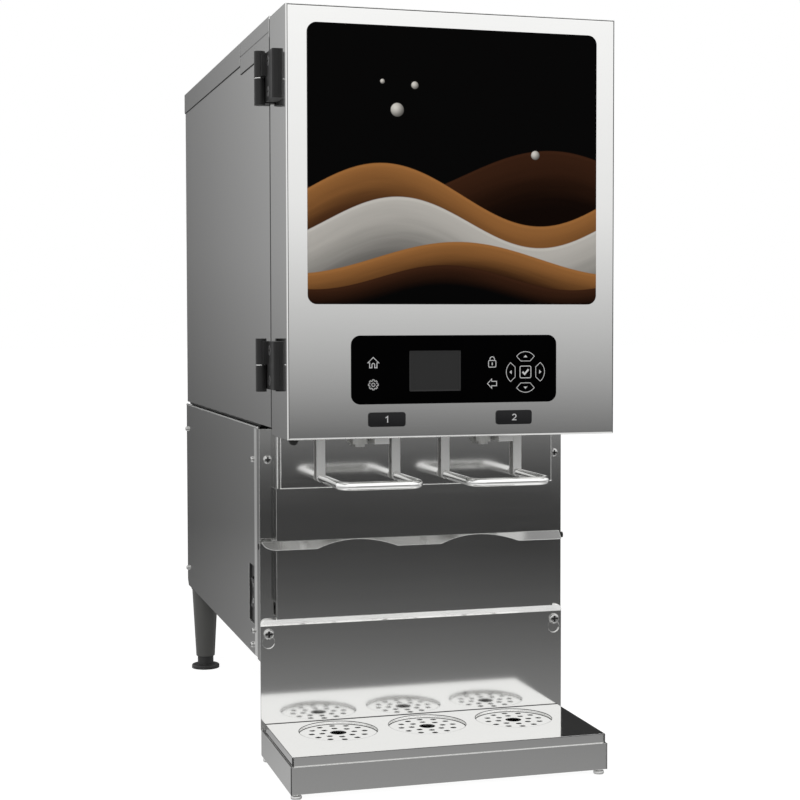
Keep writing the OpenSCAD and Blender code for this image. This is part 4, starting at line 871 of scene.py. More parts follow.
class DISPENSER_OT_cabinet(DispenserPiece):
    """Brush the outer sheets of the insulated cabinet and add its hems, and dark beads of painted shade in
    its gaps
    """

    bl_idname = "dispenser.cabinet"
    bl_label = "Cabinet Sheets"

    def execute(self, context):
        self.look(context)
        rough = self.steel.sheet_roughness
        clothe(brushed_steel(self.steel, "cabinet_steel", 2, rough), "cabinet_wrap", "cabinet_floor")
        # Toned darker than bare steel: painted shade on the top sheets
        clothe(brushed_steel(self.steel, "cover_steel", 2, rough, 0.85, 0.4), "top_cover", "top_front_trim")
        self.shade_beads()
        self.trim_hems()
        return {"FINISHED"}

    def shade_beads(self):
        """Dark beads under the top sheets' lower edges, in the gap between them and on top of the base:
        painted shade in the gaps between the sheets.
        """
        mesh = bmesh.new()
        bead = self.sizes.gap_shade_width / 2
        low, high = corners("cabinet_wrap")
        cover, _ = corners("top_cover")
        trim, trim_end = corners("top_front_trim")
        gap = (cover.y + trim_end.y) / 2
        for x in (low.x, high.x):
            rod(mesh, (x, cover.y, cover.z), (x, high.y, cover.z), bead)
            rod(mesh, (x, trim.y, trim.z), (x, trim_end.y, trim.z), bead)
            rod(mesh, (x, gap, trim.z), (x, gap, high.z), bead)
        rod(mesh, (low.x, high.y, cover.z), (high.x, high.y, cover.z), bead)
        rod(mesh, (low.x, gap, high.z), (high.x, gap, high.z), bead)
        base, _ = corners("left_side_panel")
        base_bead = self.sizes.base_gap_shade_width / 2
        inset = self.sizes.base_gap_shade_inset
        left, right, rear, z = low.x + inset, high.x - inset, high.y - inset, low.z - base_bead
        for x in (left, right):
            rod(mesh, (x, base.y, z), (x, rear, z), base_bead)
        rod(mesh, (left, rear, z), (right, rear, z), base_bead)
        # Black rubber beads: painted shade in the gaps
        keep(mesh, "cabinet_shade_beads", "machine", "rubber", rubber("shade_bead_rubber"))

    def trim_hems(self):
        """Upright hems at the front ends of the top trim, just below its top, painted paler than bare steel
        as a painted highlight.
        """
        mesh = bmesh.new()
        _, high = corners("cabinet_wrap")
        trim, trim_end = corners("top_front_trim")
        hem = self.sizes.hem_width / 3
        y, top = trim.y - 0.5 * hem, high.z - 1.0
        for x in (trim.x + 0.4 * hem, trim_end.x - 0.4 * hem):
            rod(mesh, (x, y, top - self.sizes.trim_hem_length), (x, y, top), hem)
        # Paler than bare steel: painted highlight
        bright = brushed_steel(self.steel, "trim_hem_highlight_steel", 2, self.steel.sheet_roughness, 1.2)
        keep(mesh, "trim_hems", "machine", "bright_steel", bright)


class DISPENSER_OT_door(DispenserPiece):
    """Finish the door pan, its printed panel, liner, gasket and bumper"""

    bl_idname = "dispenser.door"
    bl_label = "Door"

    def execute(self, context):
        self.look(context)
        clothe(brushed_steel(self.steel, "door_steel", 0, self.steel.polished_roughness), "door_shell")
        clothe(moulded(self.plastic, "door_liner_white", self.plastic.white, 0.45), "door_liner")
        clothe(rubber("gasket_rubber"), "door_gasket")
        clothe(self.wave_print(context.scene.dispenser_graphic), "graphic_panel")
        self.fold_shade_lines()
        self.bumper()
        return {"FINISHED"}

    def fold_shade_lines(self):
        """Thin dark lines just inside the side and top edges of the door's front: painted shade where the
        door's bends catch no light.
        """
        low, high = corners("door_shell")
        middle = (low + high) / 2
        inset = self.sizes.fold_shade_inset
        side, top = high.x - middle.x - inset, high.z - middle.z - inset
        mark = Print(facing("front", (middle.x, low.y, middle.z)), self.prints.thickness)
        path = [(-side, -top), (-side, top), (side, top), (side, -top)]
        mark.line(path, self.sizes.fold_shade_width, closed=False)
        # Grey paint: painted shade along the door's bends
        grey = painted("fold_shade_grey", (0.09, 0.09, 0.09), 0.5)
        keep(mark.mesh, "door_fold_shade_lines", "door", "dark_paint", grey)

    def bumper(self):
        """Round rubber stop under the door's left corner, narrower towards its end."""
        low, _ = corners("door_shell")
        place = facing("down", low + BUMPER_INSET)
        profile = ((0.95, 0.0), (1.0, 0.08), (0.98, 0.25), (0.88, 0.5), (0.75, 0.72), (0.55, 0.9), (0.3, 1.0))
        mesh = bmesh.new()
        turned(mesh, place, profile, self.sizes.bumper_diameter / 2, self.sizes.bumper_height)
        keep(mesh, "door_bumper", "door", "rubber", rubber("bumper_rubber"))

    def wave_print(self, colours):
        """Flowing ribbons of cream and caramel with a few drops on a dark ground."""
        low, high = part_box("graphic_panel")
        size = high - low
        finish = Finish("wave_print")
        place = finish.split(finish.place())
        across = (place - low.x) * (1.0 / size.x)
        up = (place.out("Z") - low.z) * (1.0 / size.z)
        shade = finish.mix(up, toned(colours.ground, 1.5), colours.ground)
        # Height and swing of each crest, its waves across the panel and their phase, the depth over which
        # the ribbon fades, and its light and dark colours
        ribbons = (
            (0.47, 0.100, 0.80, 0.58, 0.22, colours.brown, toned(colours.brown, 0.1)),
            (0.40, 0.110, 0.92, 0.02, 0.17, colours.caramel, colours.brown),
            (0.30, 0.090, 1.02, -0.06, 0.26, colours.cream, toned(colours.cream, 0.22)),
            (0.17, 0.060, 0.88, -0.20, 0.12, colours.caramel, toned(colours.brown, 0.7)),
            (0.10, 0.045, 1.12, -0.27, 0.08, colours.brown, colours.ground),
        )
        for height, swing, waves, phase, fade, light, dark in ribbons:
            crest = ((across * waves + phase) * math.tau).sine() * swing + height
            depth = crest - up
            stream = finish.join(across * 2.2, depth * 26.0, height)
            flow = finish.node(
                "ShaderNodeTexNoise", None, {"Vector": stream, "Scale": 1.0, "Detail": 3.0}, "Fac"
            )
            tone = (depth * (1.0 / fade) + (flow - 0.5) * 0.35).step(0.0, 1.0)
            lit = finish.mix(tone, light, dark)
            lip = depth.within(0.004, 0.012, 0.006)
            lit = finish.mix(lip * 0.35, lit, toned(light, 1.5))
            shade = finish.mix(depth.step(0.0, 0.004), shade, lit)
        aspect = size.x / size.z
        spot = finish.join(across * aspect, up)
        # Place of each drop as shares of the panel, and its radius as a share of the panel's height
        drops = ((0.30, 0.70, 0.026), (0.36, 0.79, 0.015), (0.25, 0.80, 0.010), (0.78, 0.55, 0.018))
        bright, dim = toned(colours.cream, 1.4), toned(colours.cream, 0.2)
        for x, z, radius in drops:
            far = self.reach(finish, spot, x * aspect, z)
            lamp = self.reach(finish, spot, x * aspect - 0.35 * radius, z + 0.4 * radius)
            ball = finish.mix(lamp.step(0.0, 1.5 * radius), bright, dim)
            shade = finish.mix(1.0 - far.step(radius - 0.003, radius), shade, ball)
        return finish.surface(
            base_color=shade,
            roughness=0.3 + finish.grain(finish.place(), (30.0, 30.0, 30.0), 2.0) * 0.06,
            specular_ior_level=0.02,
        )

    def reach(self, finish, spot, x, z):
        """How far a place on the print is from a point."""
        sockets = {0: spot, 1: (x, z, 0.0)}
        return finish.node("ShaderNodeVectorMath", {"operation": "DISTANCE"}, sockets, "Value")


class DISPENSER_OT_keypad(DispenserPiece):
    """Finish the keypad, the display and the product labels, and print their marks"""

    bl_idname = "dispenser.keypad"
    bl_label = "Keypad and Labels"

    def execute(self, context):
        self.look(context)
        clothe(glossy_overlay("keypad_black", (0.0004, 0.0004, 0.0005), 0.3, 0.01), "keypad_overlay")
        clothe(display_glass("display_glass", "lcd_module"), "lcd_module")
        clothe(circuit_board("board_green"), "control_board")
        white = ink(self.prints, "keypad_ink")
        self.keys(white)
        self.labels(white)
        return {"FINISHED"}

    def keys(self, white):
        """Marks of the keys, placed in millimetres from the middle of the keypad."""
        marks = {
            "home_mark": ((-91.5, 7.7), draw_home),
            "settings_mark": ((-91.5, -15.7), draw_gear),
            "lock_mark": ((41.5, 7.4), draw_lock),
            "back_mark": ((41.5, -16.0), draw_back),
            "enter_mark": (ARROW_MIDDLE, draw_enter),
        }
        middle_x, middle_z = ARROW_MIDDLE
        for name, turn in (("right", 0), ("up", 90), ("left", 180), ("down", 270)):
            way = math.radians(turn)
            spot = (middle_x + ARROW_REACH * math.cos(way), middle_z + ARROW_REACH * math.sin(way))
            marks[name + "_key_mark"] = (spot, partial(draw_arrow_key, turn=turn))
        low, high = corners("keypad_overlay")
        for name, ((x, z), draw) in marks.items():
            centre = ((low.x + high.x) / 2 + x, low.y, (low.z + high.z) / 2 + z)
            self.mark(name, centre, draw, white)

    def mark(self, name, centre, draw, white, weight=1.0):
        """Prints one mark on the door, with lines of the usual width times a weight."""
        mark = Print(facing("front", centre), self.prints.thickness)
        draw(mark, weight * self.prints.line / MM)
        keep(mark.mesh, name, "door", "white_plastic", white)

    def labels(self, white):
        """Two bevelled product labels with their numbers."""
        low, high = corners("label_plates")
        wide, tall = self.prints.label_width / MM, high.z - low.z
        deep = high.y - low.y - 2 * self.prints.thickness / MM
        corner, rim = self.prints.label_corner / MM, self.prints.label_rim / MM
        bevel = ((0.0, 0.0), (0.0, deep - rim), (0.3 * rim, deep - 0.3 * rim), (rim, deep))
        levels = [
            (rounded_box(wide - 2 * inset, tall - 2 * inset, corner - inset), height)
            for inset, height in bevel
        ]
        mesh = bmesh.new()
        z = (low.z + high.z) / 2
        for name, x, draw in (("left", low.x + wide / 2, draw_one), ("right", high.x - wide / 2, draw_two)):
            loft(mesh, facing("front", (x, high.y, z)), levels)
            self.mark(name + "_label_number", (x, high.y - deep, z), draw, white, 1.25)
        black = glossy_overlay("label_black", (0.017, 0.017, 0.018), 0.35, 0.1)
        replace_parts(keep(mesh, "product_labels", "door", "black_gloss", black), "label_plates")


class DISPENSER_OT_hinges(DispenserPiece):
    """Finish the hinges and put screws in their door leaves"""

    bl_idname = "dispenser.hinges"
    bl_label = "Hinges"

    def execute(self, context):
        self.look(context)
        clothe(moulded(self.plastic, "hinge_black", toned(self.plastic.black, 0.9), 0.42, 0.25),
               "hinge_frame_leaves", "hinge_door_leaves")
        clothe(brushed_steel(self.steel, "hinge_pin_steel", 2, 0.2), "hinge_pins")
        self.leaf_screws()
        return {"FINISHED"}

    def leaf_screws(self):
        """Two countersunk screws in each door leaf."""
        mesh = bmesh.new()
        leaf, leaf_end = corners("hinge_door_leaves")
        _, frame_end = corners("hinge_frame_leaves")
        x, y = leaf_end.x - LEAF_THICKNESS, leaf.y + LEAF_SCREW_INSET
        for middle in (leaf.z + LEAF_HEIGHT / 2, frame_end.z - LEAF_HEIGHT / 2):
            for side in (-1, 1):
                place = facing("left", (x, y, middle + side * LEAF_SCREW_REACH))
                sunk_screw(mesh, place, self.sizes.leaf_screw, self.sizes)
        # Heads toned darker than bare steel and near-black recesses: both painted shade
        head = brushed_steel(self.steel, "leaf_screw_steel", 2, 0.3, 0.8, 0.3)
        recess = painted("leaf_recess_painted_shade", (0.01, 0.01, 0.01), 0.5)
        keep(mesh, "hinge_leaf_screws", "door", "bright_steel", head, recess)


class DISPENSER_OT_dispensing(DispenserPiece):
    """Finish the nozzle panel, the levers and the valves"""

    bl_idname = "dispenser.dispensing"
    bl_label = "Levers and Nozzles"

    def execute(self, context):
        self.look(context)
        # Toned darker than bare steel: painted shade on the nozzle panel
        panel = brushed_steel(self.steel, "nozzle_panel_steel", 0, self.steel.sheet_roughness, 0.8, 2.5)
        clothe(panel, "nozzle_panel")
        _, lever_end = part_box("lever_left")
        clothe(lever_steel(self.steel, lever_end.y - STRAP_DEPTH * MM), "lever_left", "lever_right")
        clothe(brushed_steel(self.steel, "pin_steel", 0, self.steel.polished_roughness), "lever_pins",
               "plunger_left", "plunger_right")
        # Paler than bare steel: painted sheen on the bracket
        bracket = brushed_steel(self.steel, "bracket_steel", 0, self.steel.satin_roughness, 1.1)
        clothe(bracket, "lever_bracket")
        clothe(moulded(self.plastic, "nozzle_white", self.plastic.white, 0.35), "nozzles", "product_tubes")
        clothe(moulded(self.plastic, "valve_black", self.plastic.black, 0.45), "valve_body_left",
               "valve_body_right", "lever_switches")
        return {"FINISHED"}


class DISPENSER_OT_base(DispenserPiece):
    """Finish the base panels, the cup ledge and the power switch"""

    bl_idname = "dispenser.base"
    bl_label = "Base"

    def execute(self, context):
        self.look(context)
        sheet = brushed_steel(self.steel, "base_steel", 1, self.steel.sheet_roughness)
        clothe(sheet, "base_chassis", "left_side_panel", "right_side_panel", "rear_panel")
        clothe(brushed_steel(self.steel, "front_steel", 0, self.steel.sheet_roughness), "lower_front_panel")
        self.hems()
        self.front_shade_strips()
        self.ledge()
        clothe(rubber("plug_rubber"), "ledge_plugs")
        clothe(moulded(self.plastic, "switch_black", self.plastic.black, 0.4), "switch_frame", "power_inlet")
        clothe(moulded(self.plastic, "rocker_black", (0.03, 0.03, 0.03), 0.25), "power_rocker")
        self.switch_marks()
        return {"FINISHED"}

    def hems(self):
        """Rolled hems on the side panels' top and front edges, beside the nozzle panel and on its edges, all
        painted paler than bare steel as painted highlights along those edges.
        """
        mesh = bmesh.new()
        hem = self.sizes.hem_width / 2
        edge = 0.5 * hem
        for name, side in (("left_side_panel", -1), ("right_side_panel", 1)):
            low, high = corners(name)
            x = (low.x if side < 0 else high.x) - 0.7 * side * hem
            y, top = low.y + edge, high.z + 0.4
            rod(mesh, (x, low.y, top), (x, high.y, top), hem)
            rod(mesh, (x, y, low.z), (x, y, high.z), hem)
        nozzle, nozzle_end = corners("nozzle_panel")
        front, front_end = corners("lower_front_panel")
        for x in ((front.x + nozzle.x) / 2, (front_end.x + nozzle_end.x) / 2):
            rod(mesh, (x, front.y, nozzle.z), (x, front.y, front_end.z), edge)
        y, bottom, thin = nozzle.y + 0.5 * edge, nozzle.z + 0.4 * edge, 0.7 * edge
        for x in (nozzle.x + edge, nozzle_end.x - edge):
            rod(mesh, (x, y, nozzle.z), (x, y, nozzle_end.z), thin)
        rod(mesh, (nozzle.x, y, bottom), (nozzle_end.x, y, bottom), thin)
        # Paler than bare steel: painted highlight
        bright = brushed_steel(self.steel, "hem_highlight_steel", 1, 2 * self.steel.sheet_roughness, 1.28)
        keep(mesh, "panel_hems", "machine", "bright_steel", bright)

    def front_shade_strips(self):
        """Thin strips on the sides of the lower front panel, above what the splash panel needs to lift, toned
        dark as painted shade on the panel's sides.
        """
        low, high = corners("lower_front_panel")
        nozzle, _ = corners("nozzle_panel")
        thick, margin, corner = 0.2, 0.2, 0.4
        deep, tall = high.y - low.y, nozzle.z - low.z - SPLASH_ROOM
        # Steel toned to a third: painted shade on the panel's sides
        satin = brushed_steel(self.steel, "front_strip_shade_steel", 2, 0.25, 0.3)
        for side, x in (("left", low.x), ("right", high.x)):
            centre = (x, (low.y + high.y) / 2, nozzle.z - tall / 2)
            strip = Print(facing(side, centre), thick * MM)
            strip.solid(rounded_box(deep - 2 * margin, tall - 2 * margin, corner))
            keep(strip.mesh, side + "_front_shade_strip", "machine", "steel", satin)

    def ledge(self):
        """Sloping cup ledge with two scallops, a round left corner and a square right end."""
        low, high = corners("cup_ledge")
        length = high.x - low.x - self.sizes.ledge_notch
        drop = high.z - low.z
        lean = (high.y - low.y) / drop
        cups = [sum(corner.x for corner in corners(lever)) / 2 for lever in ("lever_left", "lever_right")]
        half, bite = self.sizes.scallop_width / 2, self.sizes.scallop_depth
        corner, sheet = self.sizes.ledge_corner, self.sizes.ledge_sheet
        radius = (half ** 2 + bite ** 2) / (2 * bite)
        steps = 180
        mesh = bmesh.new()
        rings = []
        for i in range(steps + 1):
            x = low.x + length * i / steps
            near = min(half, *[abs(x - cup) for cup in cups])
            scallop = bite - radius + math.sqrt(radius ** 2 - near ** 2)
            round_end = max(0.0, 1 - (x - low.x) / corner)
            deep = drop - max(scallop, 0.9 * drop * (1 - math.sqrt(1 - round_end ** 2)))
            foot, bottom = high.y - lean * deep, high.z - deep
            inner = (min(foot + sheet, high.y - 0.1), bottom)
            section = ((high.y, high.z), (foot, bottom), inner, (high.y, high.z - min(sheet, 0.9 * deep)))
            rings.append([mesh.verts.new(Vector((x, y, z)) * MM) for y, z in section])
        for before, after in zip(rings, rings[1:]):
            wall(mesh, before, after)
        mesh.faces.new(rings[0])
        mesh.faces.new(rings[-1])
        # Toned darker than bare steel: painted shade on the cup ledge
        satin = brushed_steel(self.steel, "ledge_steel", 0, 1.2 * self.steel.sheet_roughness, 0.85)
        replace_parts(keep(mesh, "cup_rest", "machine", "steel", satin), "cup_ledge")

    def switch_marks(self):
        """Line and ring on the two halves of the power rocker."""
        low, high = corners("power_rocker")
        middle = Vector((low.x, (low.y + high.y) / 2, (low.z + high.z) / 2))
        reach, dip, up = (high.z - low.z) / 2, 2.0, 9.5
        lean = math.atan2(dip, reach)
        white = ink(self.prints, "switch_ink")
        marks = (("on", 1, [(0, -2.6), (0, 2.6)], False), ("off", -1, circle(2.4, 20), True))
        for name, side, points, closed in marks:
            centre = middle + Vector((dip * (1 - up / reach), 0, side * up))
            place = facing("left", centre) @ Matrix.Rotation(side * lean, 4, "X")
            mark = Print(place, self.prints.thickness)
            mark.line(points, self.prints.line / MM, closed)
            keep(mark.mesh, "switch_" + name + "_mark", "power_rocker", "white_plastic", white)


class DISPENSER_OT_screws(DispenserPiece):
    """Turn the panel screws with cross recesses"""

    bl_idname = "dispenser.screws"
    bl_label = "Screws"

    def execute(self, context):
        self.look(context)
        mesh = bmesh.new()
        self.front_screws(mesh)
        self.side_screws(mesh)
        # Heads toned darker than bare steel and near-black recesses: both painted shade
        head = brushed_steel(self.steel, "screw_steel", 2, 0.16, 0.6, 0.4)
        recess = painted("recess_painted_shade", (0.01, 0.01, 0.01), 0.5)
        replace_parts(keep(mesh, "panel_screw_set", "machine", "bright_steel", head, recess), "panel_screws")
        return {"FINISHED"}

    def front_screws(self, mesh):
        """On each post a screw near the top, and one that stands off for the splash panel's keyhole."""
        splash, _ = corners("splash_panel")
        base, base_end = corners("base_chassis")
        _, panel_end = corners("left_side_panel")
        shank = (self.sizes.key_shank, KEY_STANDOFF)
        for x in (base.x + POST_SCREW_INSET, base_end.x - POST_SCREW_INSET):
            key = (x, base.y - KEY_STANDOFF, splash.z + KEY_SCREW_RISE)
            pan_screw(mesh, facing("front", key), self.sizes.key_screw, self.sizes, shank)
            post = (x, base.y, panel_end.z - POST_SCREW_DROP)
            pan_screw(mesh, facing("front", post), self.sizes.post_screw, self.sizes)

    def side_screws(self, mesh):
        """The same screws on both side panels."""
        low, _ = corners("left_side_panel")
        _, high = corners("right_side_panel")
        for back, up in SIDE_SCREWS:
            for side, x in (("left", low.x), ("right", high.x)):
                place = facing(side, (x, low.y + back, low.z + up))
                pan_screw(mesh, place, self.sizes.side_screw, self.sizes)


class DISPENSER_OT_legs(DispenserPiece):
    """Finish the legs and their levelling feet"""

    bl_idname = "dispenser.legs"
    bl_label = "Legs and Feet"

    def execute(self, context):
        self.look(context)
        clothe(painted("leg_paint", self.plastic.leg, 0.4), "legs")
        feet = [name for name in NODES if name.startswith("foot_")]
        clothe(moulded(self.plastic, "foot_black", (0.034, 0.034, 0.034), 0.45), *feet)
        return {"FINISHED"}


class DISPENSER_OT_drip_tray(DispenserPiece):
    """Finish the splash panel, the tray box, its lid and its feet"""

    bl_idname = "dispenser.drip_tray"
    bl_label = "Drip Tray"

    def execute(self, context):
        self.look(context)
        polished = self.steel.polished_roughness
        low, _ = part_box("splash_panel")
        strip = low.z + STRIP_RISE * MM
        # The strip is satin and painted paler: a painted highlight
        splash = brushed_steel(self.steel, "splash_steel", 0, 1.3 * polished, edge=0.6, satin_and_sheen_above=strip)
        clothe(splash, "splash_panel")
        clothe(brushed_steel(self.steel, "tray_steel", 0, self.steel.sheet_roughness, edge=0.4), "tray_box")
        # Paler than bare steel: painted sheen on the lid
        clothe(brushed_steel(self.steel, "lid_steel", 0, polished, 1.05), "tray_lid")
        self.feet()
        self.joint_and_shade_lines()
        return {"FINISHED"}

    def feet(self):
        """Turned feet under the tray's corners, each a low round disc on a neck."""
        low, high = corners("tray_feet")
        radius, height = self.sizes.glide_diameter / 2, high.z - low.z
        profile = ((0.72, 0.0), (0.9, 0.05), (1.0, 0.2), (1.0, 0.42), (0.92, 0.58), (0.62, 0.68), (0.55, 0.8),
                   (0.55, 1.0))
        mesh = bmesh.new()
        for x in (low.x + radius, high.x - radius):
            for y in (low.y + radius, high.y - radius):
                turned(mesh, facing("up", (x, y, low.z)), profile, radius, height)
        # Darker than bare steel: painted shade on the feet
        satin = brushed_steel(self.steel, "tray_foot_steel", 2, self.steel.satin_roughness, 0.9)
        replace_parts(keep(mesh, "tray_glides", "drip_tray", "steel", satin), "tray_feet")

    def joint_and_shade_lines(self):
        """Dark lines: a dark joint where the lid sits on the box, and painted shade on the box's folded
        corners, along the lid's edges and on the drip discs' walls.
        """
        # Dark paint: a joint under the lid, painted shade in the folds and recesses
        dark = painted("joint_and_shade_dark", (0.05, 0.05, 0.05), 0.5)
        thin = self.sizes.joint_and_shade_width / 2
        box, box_end = corners("tray_box")
        lid, lid_end = corners("tray_lid")
        mesh = bmesh.new()
        # The lid's joint on the box, and painted shade down the box's front corners
        for x, corner in ((lid.x, box.x), (lid_end.x, box_end.x)):
            gap = (x + corner) / 2
            rod(mesh, (gap, lid.y, box_end.z), (gap, lid_end.y, box_end.z), 1.4 * thin)
            rod(mesh, (corner, box.y, box.z), (corner, box.y, box_end.z), thin)
        keep(mesh, "tray_joint_and_corner_shade", "drip_tray", "dark_paint", dark)
        mesh = bmesh.new()
        rear, top = lid_end.y - thin, lid_end.z - thin
        rod(mesh, (lid.x, rear, lid_end.z), (lid_end.x, rear, lid_end.z), thin)
        rod(mesh, (lid.x, lid.y, top), (lid_end.x, lid.y, top), 0.7 * thin)
        for x in (lid.x, lid_end.x):
            rod(mesh, (x, lid.y, top), (x, lid_end.y, top), 0.7 * thin)
            rod(mesh, (x, lid.y, box_end.z + thin), (x, lid.y, top), 1.4 * thin)
        keep(mesh, "lid_edge_shade", "tray_lid", "dark_paint", dark)
        self.disc_edges(lid, lid_end, dark)

    def disc_edges(self, lid, lid_end, dark):
        """Dark rings on the walls of the three drip discs, just below the lid's top: painted shade on the
        recessed walls.
        """
        radius, pitch = self.sizes.disc_diameter / 2, self.sizes.disc_pitch
        lip, inset, line = 0.8, 0.25, 0.3
        y = lid_end.y - 0.34 * (lid_end.y - lid.y)
        for name, side in (("left", -1), ("middle", 0), ("right", 1)):
            centre = ((lid.x + lid_end.x) / 2 + side * pitch, y, lid_end.z - lip)
            edge = Print(facing("up", centre), 0.9 * lip * MM)
            edge.line(circle(radius - inset, 72), line)
            keep(edge.mesh, name + "_disc_wall_shade", "tray_lid", "dark_paint", dark)


class DISPENSER_OT_cold_space(DispenserPiece):
    """Finish the liner, the bins and the cooling parts behind the door"""

    bl_idname = "dispenser.cold_space"
    bl_label = "Cold Space"

    def execute(self, context):
        self.look(context)
        clothe(brushed_steel(self.steel, "liner_steel", 2, 0.3), "inner_liner")
        clothe(foam("foam_yellow", (0.62, 0.5, 0.24)), "cabinet_insulation")
        clothe(moulded(self.plastic, "bin_white", self.plastic.white, 0.35), "milk_bin_left",
               "milk_bin_right", "bin_lid_left", "bin_lid_right", "evaporator_cover")
        clothe(finned(self.steel, "evaporator_fins", "X", 3 * MM, 1.0), "evaporator_coil")
        clothe(moulded(self.plastic, "fan_black", self.plastic.black, 0.45), "evaporator_fan")
        return {"FINISHED"}


class DISPENSER_OT_machine_space(DispenserPiece):
    """Finish the compressor, the condenser and its fan"""

    bl_idname = "dispenser.machine_space"
    bl_label = "Machine Space"

    def execute(self, context):
        self.look(context)
        clothe(painted("compressor_paint", (0.015, 0.015, 0.015), 0.35), "compressor")
        clothe(finned(self.steel, "condenser_fins", "X", 3 * MM, 0.12), "condenser_coil")
        clothe(moulded(self.plastic, "shroud_black", self.plastic.black, 0.5), "fan_shroud", "condenser_fan")
        return {"FINISHED"}


# Light that the front reflects, as (elevation in degrees, strength): a dark band lies a little below the
# horizon and the ceiling is dim
FRONT_WALL = (
    (-90, 1.05), (-60, 1.0), (-40, 0.62), (-25, 0.42), (-15.5, 0.34), (-11.3, 0.15), (-9.4, 0.08),
    (-8.2, 0.042), (-7.2, 0.018), (-6.0, 0.018), (-4.8, 0.09), (-3.8, 0.22), (-2.1, 0.44), (-0.3, 0.63),
    (3.9, 1.02), (8, 1.125), (13, 1.26), (25, 1.3), (45, 1.5), (58, 1.5), (62, 0.8), (66, 0.36), (71, 0.28),
    (90, 0.2),
)

# Light that the sides reflect from the wall behind the machine, in the same form
REAR_WALL = (
    (-16, 0.55), (-13, 0.33), (-11, 0.24), (-9, 0.215), (-7, 0.165), (-4, 0.185), (-2.1, 0.225), (2.5, 0.32),
    (6, 0.35), (12, 0.4), (37, 0.6),
)

# Light of the wall to the left, in the same form
LEFT_WALL = (
    (-90, 0.9), (-30, 0.45), (-12, 0.6), (-5, 0.85), (4, 1.05), (15, 1.1), (40, 1.1), (70, 0.5), (90, 0.3),
)

# Place and width of each lamp in metres, and its share of the key light's power
LAMPS = {
    "key_lamp": ((-1.6, -2.6, 2.4), 1.8, 1.0),
    "side_lamp": ((2.4, -1.2, 1.8), 1.6, 0.35),
}


def climb_of(degrees):
    """Place on a wall's ramp of an elevation above the horizon."""
    return degrees / 180.0 + 0.5


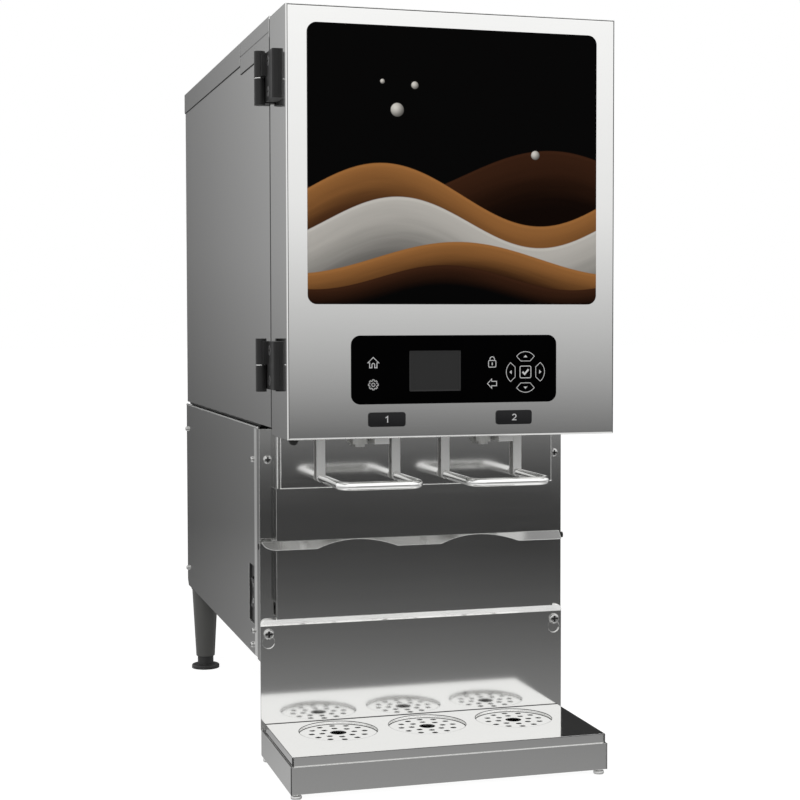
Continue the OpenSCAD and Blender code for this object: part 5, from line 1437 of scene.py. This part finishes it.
class DISPENSER_OT_stage(bpy.types.Operator):
    """Set up the camera, the floor and the studio light"""

    bl_idname = "dispenser.stage"
    bl_label = "Stage"

    def execute(self, context):
        stage = context.scene.dispenser_stage
        context.scene.view_settings.view_transform = "Standard"
        self.camera(context.scene, stage)
        self.floor(context.scene, stage)
        self.studio(context.scene, stage)
        for name, (place, size, share) in LAMPS.items():
            self.lamp(context.scene, name, place, size, share * stage.key_power)
        return {"FINISHED"}

    def camera(self, scene, stage):
        """Camera at the photograph's viewing angle."""
        camera = bpy.data.objects.new("camera", bpy.data.cameras.new("camera"))
        scene.collection.objects.link(camera)
        turn = Matrix.Rotation(-stage.turn, 4, "Z")
        tilt = Matrix.Rotation(math.radians(90) - stage.tilt, 4, "X")
        roll = Matrix.Rotation(stage.roll, 4, "Z")
        camera.matrix_world = Matrix.Translation(stage.eye) @ turn @ tilt @ roll
        camera.data.sensor_fit = "HORIZONTAL"
        camera.data.sensor_width = 36.0
        camera.data.lens = stage.lens
        camera.data.shift_y = stage.rise
        scene.camera = camera

    def floor(self, scene, stage):
        """White floor that keeps a soft shadow and stays out of the steel's reflections."""
        mesh = bpy.data.meshes.new("floor")
        reach = 30.0
        mesh.from_pydata([(-reach, -reach, 0), (reach, -reach, 0), (reach, reach, 0), (-reach, reach, 0)],
                         [], [(0, 1, 2, 3)])
        floor = bpy.data.objects.new("floor", mesh)
        scene.collection.objects.link(floor)
        finish = Finish("floor_white")
        seen = finish.node("ShaderNodeLightPath", output="Is Camera Ray")
        white = finish.mix(seen, (0.0, 0.0, 0.0), (stage.floor_white,) * 3)
        mesh.materials.append(finish.surface(
            base_color=opaque((stage.floor_matt,) * 3), roughness=1.0, specular_ior_level=0.0,
            emission_color=white, emission_strength=1.0,
        ))
        floor.visible_glossy = False

    def studio(self, scene, stage):
        """White background, with lit walls and a dark band that only reflections show."""
        world = bpy.data.worlds.new("studio")
        world.use_nodes = True
        scene.world = world
        nodes = Nodes(world.node_tree)
        right = nodes.split(nodes.node("ShaderNodeTexCoord", output="Generated"))
        left = -right
        back = right.out("Y")
        climb = right.out("Z").arcsine() * (1.0 / math.pi) + 0.5
        front, rear, side = [
            nodes.ramp(climb, [(climb_of(degrees), light) for degrees, light in stops])
            for stops in (FRONT_WALL, REAR_WALL, LEFT_WALL)
        ]
        # The rear wall grows brighter from its middle to both ends
        dimmest, brightest = 0.09, 2.4
        to_left = (left - 0.08) * (1.0 / 0.112)
        fall = to_left.most(dimmest).least(brightest).most(right.step(0.7, 0.95) * brightest)
        lowest, highest = climb_of(REAR_WALL[0][0]), climb_of(REAR_WALL[-1][0])
        behind = back.step(-0.2, 0.25) * climb.within(lowest, highest, 0.04)
        walls = nodes.mix(behind, front, nodes.scaled(rear, fall))
        walls = nodes.mix(left.step(0.5, 0.75), walls, side)
        seen = nodes.node("ShaderNodeLightPath", output="Is Camera Ray")
        mirrored = seen.out("Is Glossy Ray").most(seen.out("Is Transmission Ray"))
        shade = nodes.mix(mirrored, (stage.fill,) * 3, walls)
        shade = nodes.mix(seen, shade, (1.0, 1.0, 1.0))
        feed(world.node_tree, world.node_tree.nodes["Background"].inputs["Color"], shade)

    def lamp(self, scene, name, place, size, power):
        """Square soft lamp that looks at the machine's middle and doesn't show in reflections."""
        lamp = bpy.data.objects.new(name, bpy.data.lights.new(name, "AREA"))
        lamp.data.size = size
        lamp.data.energy = power
        aim = Vector((0, 0, 0.4)) - Vector(place)
        lamp.matrix_world = Matrix.Translation(place) @ aim.to_track_quat("-Z", "Y").to_matrix().to_4x4()
        lamp.visible_glossy = False
        scene.collection.objects.link(lamp)


class DISPENSER_PT_panel(bpy.types.Panel):
    """Lists the dressing operators and their settings"""

    bl_idname = "DISPENSER_PT_panel"
    bl_label = "Milk Dispenser"
    bl_space_type = "VIEW_3D"
    bl_region_type = "UI"
    bl_category = "Dispenser"

    def draw(self, context):
        for operator in OPERATORS:
            self.layout.operator(operator.bl_idname)
        for group, settings in SETTINGS.items():
            box = self.layout.box()
            for name in settings.__annotations__:
                box.prop(getattr(context.scene, group), name)


# In the order in which they run
OPERATORS = (
    DISPENSER_OT_cabinet,
    DISPENSER_OT_door,
    DISPENSER_OT_keypad,
    DISPENSER_OT_hinges,
    DISPENSER_OT_dispensing,
    DISPENSER_OT_base,
    DISPENSER_OT_screws,
    DISPENSER_OT_legs,
    DISPENSER_OT_drip_tray,
    DISPENSER_OT_cold_space,
    DISPENSER_OT_machine_space,
    DISPENSER_OT_stage,
)


def register():
    for kind in (*SETTINGS.values(), *OPERATORS, DISPENSER_PT_panel):
        bpy.utils.register_class(kind)
    for name, kind in SETTINGS.items():
        setattr(bpy.types.Scene, name, PointerProperty(type=kind))


def unregister():
    for name in SETTINGS:
        delattr(bpy.types.Scene, name)
    for kind in reversed((*SETTINGS.values(), *OPERATORS, DISPENSER_PT_panel)):
        bpy.utils.unregister_class(kind)


def main():
    register()
    bpy.ops.dispenser.cabinet()
    bpy.ops.dispenser.door()
    bpy.ops.dispenser.keypad()
    bpy.ops.dispenser.hinges()
    bpy.ops.dispenser.dispensing()
    bpy.ops.dispenser.base()
    bpy.ops.dispenser.screws()
    bpy.ops.dispenser.legs()
    bpy.ops.dispenser.drip_tray()
    bpy.ops.dispenser.cold_space()
    bpy.ops.dispenser.machine_space()
    bpy.ops.dispenser.stage()


if __name__ == "__main__":
    main()
